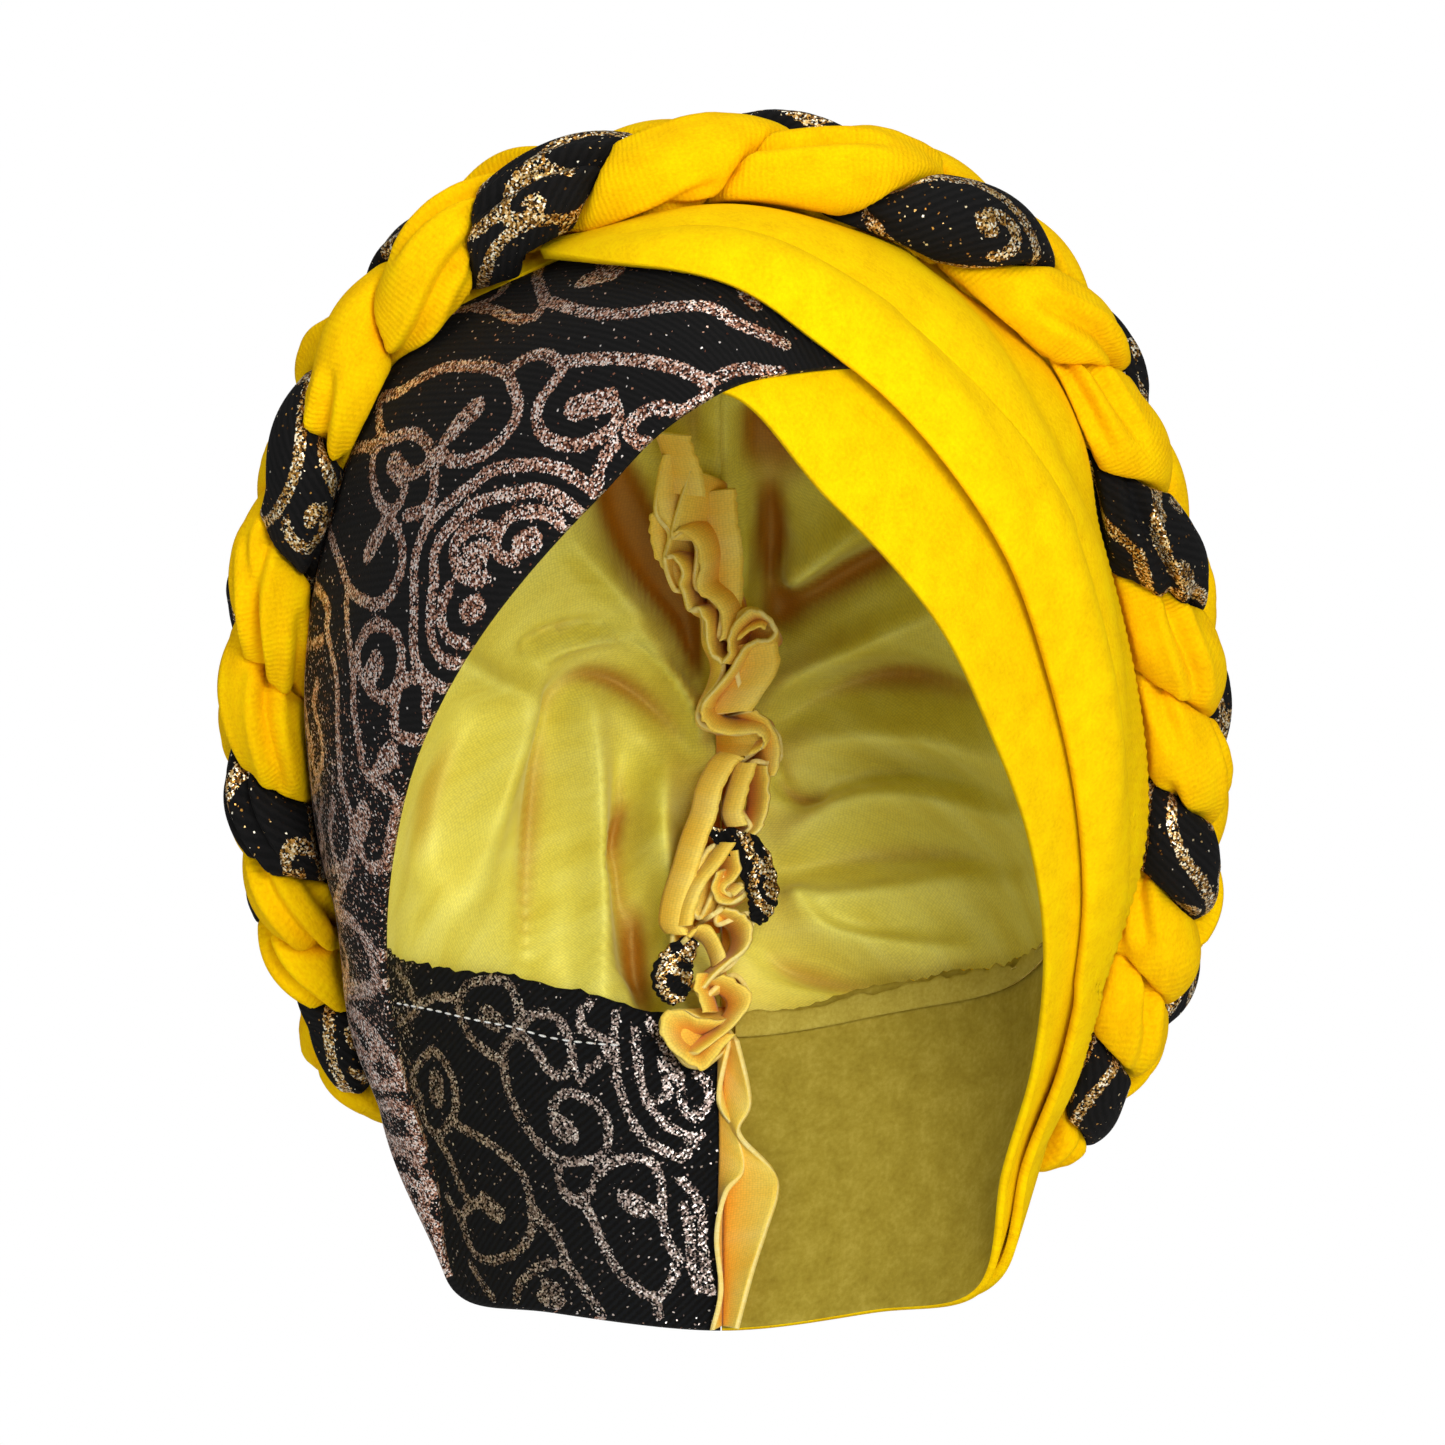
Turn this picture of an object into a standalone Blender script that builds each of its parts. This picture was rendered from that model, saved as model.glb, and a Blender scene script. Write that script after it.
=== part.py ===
"""Braided turban cap, in the form it has when it is worn.

Left and right are as seen from the front: +X is right, -Y is the face side and +Z is up. The origin is on the
inside of the crown, on its centre seam, where the top of the head touches. Lengths here are in millimetres,
and each mesh is scaled to metres when it is made.
"""

import math
from collections import namedtuple
from functools import partial

import bmesh
import bpy
import numpy as np
from mathutils import Vector
from mathutils.bvhtree import BVHTree

MM = 0.001
HEAD_MIDDLE = np.array([0.0, 15.0, -110.0])

# Cloth, as thick as it is where it is sewn and folded.
CROWN_CLOTH = 1.3
BAND_CLOTH = 1.8
WRAP_CLOTH = 2.4
RUFFLE_CLOTH = 1.2
SCRAP_CLOTH = 1.0

# The headband: a row for each section round the head, from the centre back to the forehead. The rim is the
# edge of the face and neck opening, and the top is the edge that the crown and the braid cover. The crown is
# sewn on at the join, a share of the way from the rim to the top.
Section = namedtuple("Section", "rim_right rim_left rim_y rim_z top_right top_left top_y top_z bulge join")
HEADBAND = [
    Section(0.0, 0.0, 80.0, -251.0, 0.0, 0.0, 103.0, -179.0, 2.0, 0.81),  # centre back
    Section(34.6, 38.5, 72.0, -246.0, 42.0, 43.0, 94.0, -171.0, 2.5, 0.81),
    Section(58.2, 59.4, 48.0, -238.5, 67.0, 69.0, 75.0, -164.0, 3.5, 0.82),  # nape corner
    Section(63.3, 64.3, 34.0, -211.0, 78.0, 76.0, 59.0, -153.0, 5.0, 0.86),
    Section(69.2, 70.7, 17.0, -186.0, 84.0, 80.5, 47.0, -139.0, 6.5, 0.90),
    Section(70.6, 73.2, -4.0, -160.0, 87.5, 83.0, 34.0, -118.0, 8.0, 0.92),  # ear
    Section(66.2, 70.0, -25.0, -135.0, 85.0, 83.5, 20.0, -90.0, 9.0, 0.93),
    Section(57.2, 62.5, -44.0, -112.0, 77.0, 77.0, 6.0, -60.0, 10.0, 0.94),  # temple
    Section(44.5, 47.7, -64.0, -88.0, 64.0, 63.0, -8.0, -31.0, 11.0, 0.94),
    Section(22.8, 25.5, -79.0, -64.0, 37.0, 37.0, -21.0, -12.5, 11.5, 0.94),
    Section(0.4, 0.4, -85.0, -45.0, 0.0, 0.0, -27.0, -6.5, 12.0, 0.94),  # forehead
]
LAST = 20.0  # section 20 is the centre back again, by way of the left side

# The crown: a row for each section, where its hoop of cloth meets the centre seam.
Seam = namedtuple("Seam", "y z")
CENTRE_SEAM = [
    Seam(106.5, -184.0),
    Seam(107.8, -163.0),
    Seam(109.5, -130.0),
    Seam(107.5, -92.0),
    Seam(96.0, -54.0),
    Seam(74.0, -22.0),
    Seam(42.0, -4.5),
    Seam(14.0, 0.0),
    Seam(-4.0, -0.4),
    Seam(-17.0, -2.8),
    Seam(-27.0, -6.5),
]
SEAM_GAP = 0.4  # each half stops this far from the centre plane
CROWN_FROM = 0.05  # the first and the last section of the crown's cloth
CROWN_TO = 9.95
HOOP_FULLNESS = 0.92  # 1 is an ellipse, less is squarer
GATHERS = 8.5  # folds of each half of the crown
GATHER_HEIGHT = 5.0
SWAG_DEPTH = 3.0  # the cloth between the gathers and the headband hangs in this much

# Each strip of the headband: a row for each place along it, with its front and back edge as shares of the
# headband's width, and how far its inner face lies out from the headband's own surface.
Strip = namedtuple("Strip", "section front back lift")
LUREX_BAND = [
    Strip(19.996, 0.00, 1.00, 0.0),
    Strip(17.0, 0.00, 1.00, 0.0),
    Strip(14.0, 0.00, 0.98, 0.0),
    Strip(12.0, 0.00, 0.96, 0.0),
    Strip(11.2, 0.00, 0.92, 0.2),
    Strip(10.6, 0.00, 0.86, 1.6),
    Strip(10.1, 0.00, 0.82, 2.5),
    Strip(9.7, 0.10, 0.80, 2.6),
    Strip(9.3, 0.28, 0.76, 2.6),
    Strip(8.8, 0.52, 0.74, 2.6),
]
YELLOW_BAND = [
    Strip(0.004, 0.00, 1.00, 0.0),
    Strip(1.5, 0.00, 1.00, 0.0),
    Strip(3.0, 0.00, 0.95, 0.0),
    Strip(5.0, 0.00, 0.90, 0.0),
    Strip(7.0, 0.00, 0.80, 0.0),
    Strip(8.5, 0.00, 0.75, 0.0),
    Strip(9.4, 0.00, 0.70, 0.0),
    Strip(10.0, 0.04, 0.62, 0.0),
]
OUTER_WRAP = [
    Strip(1.75, 0.03, 0.10, 2.4),
    Strip(2.3, 0.04, 0.30, 2.6),
    Strip(3.0, 0.06, 0.62, 3.0),
    Strip(4.0, 0.09, 0.84, 4.0),
    Strip(5.0, 0.13, 0.92, 4.6),
    Strip(6.0, 0.16, 0.95, 4.8),
    Strip(7.0, 0.19, 0.95, 5.0),
    Strip(8.0, 0.21, 0.94, 5.4),
    Strip(9.0, 0.26, 0.97, 5.7),
    Strip(9.7, 0.26, 0.99, 5.4),
    Strip(10.3, 0.48, 1.00, 5.6),
    Strip(10.9, 0.92, 1.00, 5.8),
]
WRAP_FOLDS = 2.0  # ridges across the outer wrap
WRAP_FOLD_HEIGHT = 1.6
ROLL_HEIGHT = 2.2  # the front edge of the wrap is a soft roll

# The braid's middle line, clockwise from its left end, with the count of full turns of its plait. The lean
# is how far its flat face turns from straight outward towards the front.
Plait = namedtuple("Plait", "x y z lean turns")
BRAID = [
    Plait(-63.0, 82.0, -188.0, 2.2, -0.30),
    Plait(-72.0, 73.0, -180.0, 3.6, -0.01),
    Plait(-82.5, 66.0, -171.5, 4.5, 0.31),
    Plait(-92.0, 58.5, -159.5, 5.4, 0.65),
    Plait(-97.0, 50.5, -143.5, 5.9, 1.01),
    Plait(-100.4, 41.0, -121.5, 6.3, 1.40),
    Plait(-99.9, 29.0, -97.5, 6.3, 1.71),
    Plait(-94.8, 15.0, -72.0, 6.3, 2.03),
    Plait(-85.4, 2.0, -47.3, 6.3, 2.37),
    Plait(-70.6, -11.0, -22.7, 6.3, 2.74),
    Plait(-44.5, -25.0, 0.4, 6.3, 3.18),
    Plait(3.5, -33.0, 9.6, 6.3, 3.75),
    Plait(46.0, -25.0, 1.0, 6.3, 4.23),
    Plait(71.0, -11.0, -21.5, 6.3, 4.66),
    Plait(85.0, 2.0, -46.5, 6.3, 5.03),
    Plait(95.2, 15.0, -72.0, 6.3, 5.37),
    Plait(101.2, 27.0, -98.0, 6.3, 5.75),
    Plait(102.4, 37.0, -124.0, 6.3, 6.12),
    Plait(100.4, 44.5, -148.0, 5.9, 6.49),
    Plait(95.0, 51.0, -168.0, 5.4, 6.86),
    Plait(86.8, 58.0, -184.0, 4.5, 7.20),
    Plait(76.5, 65.0, -197.5, 3.6, 7.53),
    Plait(67.0, 76.0, -207.0, 2.2, 7.85),
]
STRAND_SWAY = 10.2  # how far a strand swings to each side of the middle line
STRAND_RISE = 3.9  # how far it passes above and below it
STRAND_APART = 6.0  # the least distance between the middles of two strands that cross
STRAND_RADIUS = 9.2
STRAND_GAP = 1.4
STRAND_SIDES = 14
STRAND_RINGS = 300
STRAND_STEPS = 60  # places tried along each way out from a strand's middle
FIRST_STEP = 0.04
STRAND_TRIANGLES = 1750
NEIGHBOUR_REACH = 18  # how many rings away another strand may still press on this one
ROUNDING = 5.0  # how sharply a strand's round side turns into a pressed one
CLOTH_GAP = 1.2
STRAND_SEAT = 0.42  # the least height of a strand's middle above the cloth, as a share of its radius
SMOOTHINGS = 12
LOOK_DOWN = 40.0
ACROSS = np.arange(-25.0, 25.1, 1.5)  # places across the braid where the cloth under it is looked for
BRAID_TAPER = 0.055  # share of the length over which each end narrows
BRAID_END = 0.38  # how narrow the ends are

# The seam allowance down the inside of the crown, gathered into a ruffle, and that of the headband.
RUFFLE_FROM = 0.02
RUFFLE_TO = 8.6
RUFFLE_DEPTH = 15.0
RUFFLE_STEP = 6.0  # how much further in it starts, where it passes inside the headband's raw edge
RUFFLE_SWAY = 8.5
RUFFLE_WAVES = 13.5
BAND_RUFFLE_DEPTH = 11.0
BAND_RUFFLE_SWAY = 3.0
BAND_RUFFLE_WAVES = 3.2
INSIDE_GAP = 0.35
Scrap = namedtuple("Scrap", "section length x_from x_to")
SCRAP_UPPER = Scrap(1.65, 0.5, -2.0, 9.0)
SCRAP_LOWER = Scrap(0.98, 0.6, -13.0, -2.5)
SCRAP_LIFT = 1.5
SCRAP_CURL = 2.0

# Colour, roughness and metallic of each cloth.
Finish = namedtuple("Finish", "red green blue roughness")
YELLOW_JERSEY = Finish(0.95, 0.72, 0.01, 0.75)
BLACK_LUREX = Finish(0.05, 0.04, 0.04, 0.45)


def curve(rows, at):
    """Catmull-Rom through the rows of a table, at row numbers that may lie between rows."""
    rows = np.asarray(rows, float)
    at = np.clip(np.asarray(at, float), 0.0, len(rows) - 1.0)
    first = np.minimum(at.astype(int), len(rows) - 2)
    part = (at - first)[..., None]
    before = rows[np.maximum(first - 1, 0)]
    start = rows[first]
    end = rows[first + 1]
    after = rows[np.minimum(first + 2, len(rows) - 1)]
    square = part**2
    cube = part**3
    bend = 2 * before - 5 * start + 4 * end - after
    turn = 3 * start - before - 3 * end + after
    return 0.5 * (2 * start + (end - before) * part + bend * square + turn * cube)


def unit(vectors):
    return vectors / np.linalg.norm(vectors, axis=-1, keepdims=True)


def ramp(value, start, end):
    """0 before start and 1 after end, with a smooth rise between."""
    share = np.clip((value - start) / (end - start), 0.0, 1.0)
    return share * share * (3 - 2 * share)


def round_the_head():
    """The headband's rim, top and bulge at sections -1 to 21, right side first."""
    right = [(s.rim_right, s.rim_y, s.rim_z, s.top_right, s.top_y, s.top_z, s.bulge) for s in HEADBAND]
    left = [(-s.rim_left, s.rim_y, s.rim_z, -s.top_left, s.top_y, s.top_z, s.bulge) for s in HEADBAND]
    return [left[1]] + right + left[-2::-1] + [right[1]]


LOOP = round_the_head()


def headband(section, across, lift):
    """A point of the headband, from the rim (across 0) to the top (across 1), lifted outward."""
    section, across, lift = np.broadcast_arrays(section, across, lift)
    row = curve(LOOP, section + 1)
    rim, top, bulge = row[..., 0:3], row[..., 3:6], row[..., 6:7]
    step = 0.05
    ahead = curve(LOOP, np.minimum(section + 1 + step, LAST + 2))
    behind = curve(LOOP, np.maximum(section + 1 - step, 0))
    along = (ahead[..., 0:3] + ahead[..., 3:6]) - (behind[..., 0:3] + behind[..., 3:6])
    outward = unit(np.cross(top - rim, along))
    hump = (4 * across * (1 - across))[..., None]
    return rim + (top - rim) * across[..., None] + outward * (bulge * hump + lift[..., None])


def hoop(side, section, rise):
    """A point of the crown's inner face, from the headband (rise 0) to the centre seam (rise 1)."""
    section, rise = np.broadcast_arrays(section, rise)
    place = section if side > 0 else LAST - section
    join = np.interp(section, range(len(HEADBAND)), [row.join for row in HEADBAND])
    foot = headband(place, join, BAND_CLOTH + 0.6)
    seam = curve(CENTRE_SEAM, section)
    angle = rise * math.pi / 2
    near = np.cos(angle) ** HOOP_FULLNESS
    high = np.sin(angle) ** HOOP_FULLNESS
    x = side * SEAM_GAP + (foot[..., 0] - side * SEAM_GAP) * near
    y = seam[..., 0] + (foot[..., 1] - seam[..., 0]) * (1 - high)
    z = seam[..., 1] + (foot[..., 2] - seam[..., 1]) * (1 - high)
    return np.stack([x, y, z], axis=-1)


def crown(side, along, rise):
    """A half of the crown: its hoops, with the folds that the gathered seam gives them."""
    section = CROWN_FROM + (CROWN_TO - CROWN_FROM) * along
    point = hoop(side, section, rise)
    outward = unit(point - HEAD_MIDDLE)
    wave = np.abs(np.sin(math.pi * GATHERS * section / 10))
    fade = ramp(section, 0.2, 1.2) * (1 - ramp(section, 8.4, 9.4))
    puff = GATHER_HEIGHT * wave * ramp(rise, 0.25, 0.85) * (1 - 0.6 * ramp(rise, 0.93, 1.0))
    swag = SWAG_DEPTH * np.sin(math.pi * np.clip(rise / 0.6, 0, 1)) * (0.5 - wave)
    return point + outward * ((puff + swag * 0.5) * fade)[..., None]


def band_strip(rows, along, across):
    """A point of a strip of the headband, along and across from 0 to 1."""
    rows = np.asarray(rows)
    row = curve(rows, along * (len(rows) - 1))
    section, front, back, lift = (row[..., column] for column in range(4))
    return headband(section, front + (back - front) * across, lift)


def lurex_band(along, across):
    return band_strip(LUREX_BAND, along, across)


def yellow_band(along, across):
    return band_strip(YELLOW_BAND, along, across)


def outer_wrap(along, across):
    """The broad fold, with a rolled front edge and soft ridges that run its whole length."""
    row = curve(OUTER_WRAP, along * (len(OUTER_WRAP) - 1))
    section, front, back, lift = (row[..., column] for column in range(4))
    full = ramp(along, 0.0, 0.25) * (1 - ramp(along, 0.8, 1.0))
    roll = ROLL_HEIGHT * np.sin(math.pi * np.clip(across / 0.45, 0, 1)) * full
    ridge = WRAP_FOLD_HEIGHT * (0.5 - 0.5 * np.cos(2 * math.pi * WRAP_FOLDS * across)) * full
    return headband(section, front + (back - front) * across, lift + roll + ridge)


def ruffle_root(section):
    """How far in from the seam the ruffle starts."""
    return INSIDE_GAP + RUFFLE_CLOTH / 2 + RUFFLE_STEP * (1 - ramp(section, 0.35, 0.9))


def seam_ruffle(along, across):
    """The gathered allowance: its root follows the seam, and its free edge snakes from side to side."""
    section = RUFFLE_FROM + (RUFFLE_TO - RUFFLE_FROM) * along
    seam = curve(CENTRE_SEAM, section)
    root = np.stack([0 * section, seam[..., 0], seam[..., 1]], axis=-1)
    inward = unit(HEAD_MIDDLE - root)
    turn = 2 * math.pi * RUFFLE_WAVES * along
    sway = RUFFLE_SWAY * across * (np.sin(turn) + 0.25 * np.sin(2.3 * turn + 1.0))
    ends = ramp(along, 0.0, 0.03) * (1 - ramp(along, 0.97, 1.0))
    depth = ruffle_root(section) + RUFFLE_DEPTH * across * (0.55 + 0.45 * ends)
    sideways = np.array([1.0, 0.0, 0.0])
    return root + inward * depth[..., None] + sideways * (sway * ends)[..., None]


def band_ruffle(along, across):
    """The headband's own seam allowance, which leans to the right and waves."""
    foot = 0.04 + 0.72 * along
    root = headband(np.full_like(foot, 0.0), foot, np.full_like(foot, -INSIDE_GAP - RUFFLE_CLOTH / 2))
    wave = np.sin(2 * math.pi * BAND_RUFFLE_WAVES * along)
    sideways = across * (BAND_RUFFLE_DEPTH * (0.6 + 0.4 * np.sin(math.pi * along)))
    inward = 1.5 * across + BAND_RUFFLE_SWAY * across * (1 + wave)
    return root + np.stack([1.0 + sideways, -inward, 0 * inward], axis=-1)


def scrap(place, along, across):
    """A bit of lurex caught in the free edge of the ruffle."""
    section = place.section + place.length * (along - 0.5)
    seam = curve(CENTRE_SEAM, section)
    x = place.x_from + (place.x_to - place.x_from) * across
    root = np.stack([x, seam[..., 0], seam[..., 1]], axis=-1)
    inward = unit(HEAD_MIDDLE - root)
    depth = ruffle_root(section) + RUFFLE_DEPTH + SCRAP_LIFT + SCRAP_CURL * np.sin(math.pi * along) * across
    return root + inward * depth[..., None]


def material(name, finish):
    made = bpy.data.materials.get(name)
    if made:
        return made
    made = bpy.data.materials.new(name)
    made.use_nodes = True
    shader = made.node_tree.nodes["Principled BSDF"]
    shader.inputs["Base Color"].default_value = (finish.red, finish.green, finish.blue, 1.0)
    shader.inputs["Roughness"].default_value = finish.roughness
    shader.inputs["Metallic"].default_value = 0.0
    return made


def new_object(name, shape, cloth):
    mesh = bpy.data.meshes.new(name)
    shape.to_mesh(mesh)
    shape.free()
    made = bpy.data.objects.new(name, mesh)
    mesh.materials.append(material(*cloth))
    bpy.context.scene.collection.objects.link(made)
    return made


def cloth_sheet(name, surface, cells_along, cells_across, thickness, cloth, outward_from=HEAD_MIDDLE):
    """A sheet that follows a surface, thickened outward with the Solidify modifier."""
    shape = bmesh.new()
    bmesh.ops.create_grid(shape, x_segments=cells_along, y_segments=cells_across, size=0.5)
    flat = np.array([vertex.co for vertex in shape.verts]) + 0.5
    placed = surface(flat[:, 0], flat[:, 1])
    for vertex, point in zip(shape.verts, placed):
        vertex.co = Vector(point * MM)
    shape.normal_update()
    if outward_from is not None:
        middle = Vector(outward_from * MM)
        facing = sum(face.normal.dot(face.calc_center_median() - middle) for face in shape.faces)
        if facing < 0:
            bmesh.ops.reverse_faces(shape, faces=shape.faces[:])
    made = new_object(name, shape, cloth)
    made.data.shade_smooth()
    wall = made.modifiers.new("wall", "SOLIDIFY")
    wall.thickness = thickness * MM
    wall.offset = 1.0 if outward_from is not None else 0.0
    return made


def covered_by(objects):
    """A tree of the sheets' faces, to find how near the cloth under the braid is."""
    bpy.context.view_layer.update()
    depsgraph = bpy.context.evaluated_depsgraph_get()
    points, faces = [], []
    for item in objects:
        mesh = item.evaluated_get(depsgraph).to_mesh()
        start = len(points)
        points += [tuple(vertex.co) for vertex in mesh.vertices]
        faces += [[start + index for index in face.vertices] for face in mesh.polygons]
    return BVHTree.FromPolygons(points, faces)


def braid_frames(at):
    """The middle of the braid, its outward and its frontward direction, and its turns, for an array."""
    rows = np.asarray(BRAID)
    row = curve(rows, at)
    step = 0.05
    along = unit(curve(rows, at + step)[:, 0:3] - curve(rows, at - step)[:, 0:3])
    back = np.array([0.0, 1.0, 0.0])
    radial = unit(np.cross(back, along))
    radial *= np.sign(np.sum(radial * (row[:, 0:3] - HEAD_MIDDLE), axis=1))[:, None]
    front = unit(-back + along * np.sum(along * back, axis=1)[:, None])
    lean = np.radians(row[:, 3])[:, None]
    outward = radial * np.cos(lean) + front * np.sin(lean)
    frontward = front * np.cos(lean) - radial * np.sin(lean)
    return row[:, 0:3], outward, frontward, row[:, 4]


def widest_nearby(heights, reach):
    """Each value becomes the highest one within reach stations and one place across."""
    best = heights
    for along in range(-reach, reach + 1):
        for across in (-1, 0, 1):
            best = np.maximum(best, np.roll(heights, (along, across), (0, 1)))
    return best


def lay_braid(under):
    """The frames of the braid, the height of the cloth under it, and where its three strands pass."""
    share = np.linspace(0.0, 1.0, STRAND_RINGS)
    middle, outward, frontward, turns = braid_frames(share * (len(BRAID) - 1))
    ends = ramp(share, 0.0, BRAID_TAPER) * (1 - ramp(share, 1 - BRAID_TAPER, 1.0))
    sizes = BRAID_END + (1 - BRAID_END) * ends
    ground = np.full((STRAND_RINGS, len(ACROSS)), -LOOK_DOWN)
    for station in range(STRAND_RINGS):
        for place, sideways in enumerate(ACROSS):
            above = middle[station] + frontward[station] * sideways + outward[station] * LOOK_DOWN
            hit = under.ray_cast(Vector(above * MM), Vector(-outward[station]), 2 * LOOK_DOWN * MM)
            if hit[0] is not None:
                ground[station, place] = LOOK_DOWN - hit[3] / MM
    ground = widest_nearby(ground, 2) + CLOTH_GAP
    centres = np.zeros((STRAND_RINGS, 3, 2))
    rises = np.zeros((STRAND_RINGS, 3))
    for strand in range(3):
        phase = 2 * math.pi * (turns + strand / 3)
        centres[:, strand, 0] = STRAND_SWAY * sizes * np.sin(phase)
        centres[:, strand, 1] = -STRAND_RISE * sizes * np.sin(2 * phase)
        for station in range(STRAND_RINGS):
            floor = np.interp(centres[station, strand, 0], ACROSS, ground[station])
            seat = floor + STRAND_SEAT * STRAND_RADIUS * sizes[station]
            centres[station, strand, 1] = max(centres[station, strand, 1], seat)
        rises[:, strand] = -np.sin(2 * phase)
    every = np.arange(STRAND_RINGS)
    for first, second in ((0, 1), (1, 2), (2, 0)):
        beside = centres[:, first, 0] - centres[:, second, 0]
        above = np.sqrt(np.maximum((STRAND_APART * sizes) ** 2 - beside**2, 0.0))
        upper = np.where(rises[:, first] > rises[:, second], first, second)
        lower = first + second - upper
        centres[every, upper, 1] = np.maximum(centres[every, upper, 1], centres[every, lower, 1] + above)
    for _ in range(SMOOTHINGS):
        centres[1:-1] = (centres[:-2] + 2 * centres[1:-1] + centres[2:]) / 4
    return (middle, outward, frontward), sizes, ground, centres


def ground_at(ground, station, sideways):
    """The height of the cloth under the braid, at stations and places across it that may lie between columns."""
    column = np.clip((sideways - ACROSS[0]) / (ACROSS[1] - ACROSS[0]), 0, len(ACROSS) - 1.001)
    first = column.astype(int)
    part = column - first
    return ground[station, first] * (1 - part) + ground[station, first + 1] * part


def strand_surface(strand, frames, sizes, ground, centres):
    """Rings of points square to one strand, each pressed flat where it meets its neighbours and the cloth."""
    middle, outward, frontward = frames
    lines = [middle + frontward * centres[:, s, 0:1] + outward * centres[:, s, 1:2] for s in range(3)]
    own = lines[strand]
    tangent = unit(np.gradient(own, axis=0))
    up = unit(outward - tangent * np.sum(outward * tangent, axis=1)[:, None])
    side = np.cross(tangent, up)
    angle = 2 * math.pi * np.arange(STRAND_SIDES) / STRAND_SIDES
    ways = up[:, None] * np.cos(angle)[None, :, None] + side[:, None] * np.sin(angle)[None, :, None]
    step = np.gradient(middle, axis=0)
    axis = unit(step)
    spacing = np.linalg.norm(step, axis=1)
    stations = np.arange(STRAND_RINGS)
    full = np.repeat((STRAND_RADIUS * sizes)[:, None], STRAND_SIDES, axis=1)
    pressed = np.full_like(full, np.inf)
    seated = np.full_like(full, np.inf)
    for share in np.linspace(1.0, FIRST_STEP, STRAND_STEPS):
        reach = full * share
        points = own[:, None] + ways * reach[..., None]
        moved = np.sum((points - middle[:, None]) * axis[:, None], axis=2) / spacing[:, None]
        station = np.clip(np.rint(stations[:, None] + moved), 0, STRAND_RINGS - 1).astype(int)
        offset = points - middle[station]
        sideways = np.sum(offset * frontward[station], axis=2)
        sunk = np.sum(offset * outward[station], axis=2) < ground_at(ground, station, sideways)
        seated[sunk] = reach[sunk]
        nearest = np.full_like(full, np.inf)
        for other in {0, 1, 2} - {strand}:
            for shift in range(-NEIGHBOUR_REACH, NEIGHBOUR_REACH + 1):
                line = lines[other][np.clip(stations + shift, 0, STRAND_RINGS - 1)]
                nearest = np.minimum(nearest, np.linalg.norm(points - line[:, None], axis=2))
        tight = nearest < reach + STRAND_GAP
        pressed[tight] = reach[tight]
    rounded = (full**-ROUNDING + pressed**-ROUNDING + seated**-ROUNDING) ** (-1 / ROUNDING)
    return own[:, None] + ways * rounded[..., None]


def braid_strand(name, strand, braid, cloth):
    """A closed tube lofted through one strand's rings."""
    shape = bmesh.new()
    rings = strand_surface(strand, *braid)
    loops = [[shape.verts.new(Vector(point * MM)) for point in ring] for ring in rings]
    for first, second in zip(loops, loops[1:]):
        for side in range(STRAND_SIDES):
            beside = (side + 1) % STRAND_SIDES
            shape.faces.new((first[side], first[beside], second[beside], second[side]))
    shape.faces.new(loops[0][::-1])
    shape.faces.new(loops[-1])
    bmesh.ops.triangulate(shape, faces=[face for face in shape.faces if len(face.verts) > 4])
    bmesh.ops.recalc_face_normals(shape, faces=shape.faces[:])
    made = new_object(name, shape, cloth)
    made.data.shade_smooth()
    fewer = made.modifiers.new("fewer_faces", "DECIMATE")
    fewer.ratio = STRAND_TRIANGLES / (2 * STRAND_SIDES * STRAND_RINGS)
    return made


def build():
    for item in list(bpy.data.objects):
        bpy.data.objects.remove(item)
    yellow = ("yellow_jersey", YELLOW_JERSEY)
    lurex = ("black_lurex", BLACK_LUREX)
    carried = []
    for side, name in ((-1, "crown_left"), (1, "crown_right")):
        carried.append(cloth_sheet(name, partial(crown, side), 42, 7, CROWN_CLOTH, yellow))
    carried.append(cloth_sheet("band_lurex", lurex_band, 32, 5, BAND_CLOTH, lurex))
    carried.append(cloth_sheet("band_yellow", yellow_band, 32, 4, BAND_CLOTH, yellow))
    carried.append(cloth_sheet("wrap_yellow", outer_wrap, 30, 8, WRAP_CLOTH, yellow))
    braid = lay_braid(covered_by(carried))
    braid_strand("braid_lurex", 0, braid, lurex)
    braid_strand("braid_yellow_a", 1, braid, yellow)
    braid_strand("braid_yellow_b", 2, braid, yellow)
    cloth_sheet("seam_ruffle", seam_ruffle, 84, 2, RUFFLE_CLOTH, yellow, None)
    cloth_sheet("band_ruffle", band_ruffle, 16, 2, RUFFLE_CLOTH, yellow, None)
    cloth_sheet("lurex_scrap_upper", partial(scrap, SCRAP_UPPER), 4, 3, SCRAP_CLOTH, lurex, None)
    cloth_sheet("lurex_scrap_lower", partial(scrap, SCRAP_LOWER), 4, 3, SCRAP_CLOTH, lurex, None)


build()
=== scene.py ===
import math

import bmesh
import bpy
import numpy as np
from mathutils import Matrix, Vector
from mathutils.bvhtree import BVHTree
from mathutils.kdtree import KDTree


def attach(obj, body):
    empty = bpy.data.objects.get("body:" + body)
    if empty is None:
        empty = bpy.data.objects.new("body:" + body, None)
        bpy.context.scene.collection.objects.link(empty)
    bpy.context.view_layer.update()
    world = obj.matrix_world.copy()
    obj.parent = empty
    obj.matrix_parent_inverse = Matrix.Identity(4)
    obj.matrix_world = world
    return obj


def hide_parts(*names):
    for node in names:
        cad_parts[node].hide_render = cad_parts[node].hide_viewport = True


# Looks of the braided turban cap. Lengths are millimetres and become metres when a mesh is made.
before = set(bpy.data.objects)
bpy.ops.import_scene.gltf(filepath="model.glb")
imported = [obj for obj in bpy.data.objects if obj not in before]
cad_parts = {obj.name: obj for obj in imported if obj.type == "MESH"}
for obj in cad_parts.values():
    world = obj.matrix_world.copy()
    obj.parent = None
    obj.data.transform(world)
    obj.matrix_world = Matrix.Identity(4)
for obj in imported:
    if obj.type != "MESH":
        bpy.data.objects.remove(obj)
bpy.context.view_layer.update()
mm = 0.001
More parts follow.
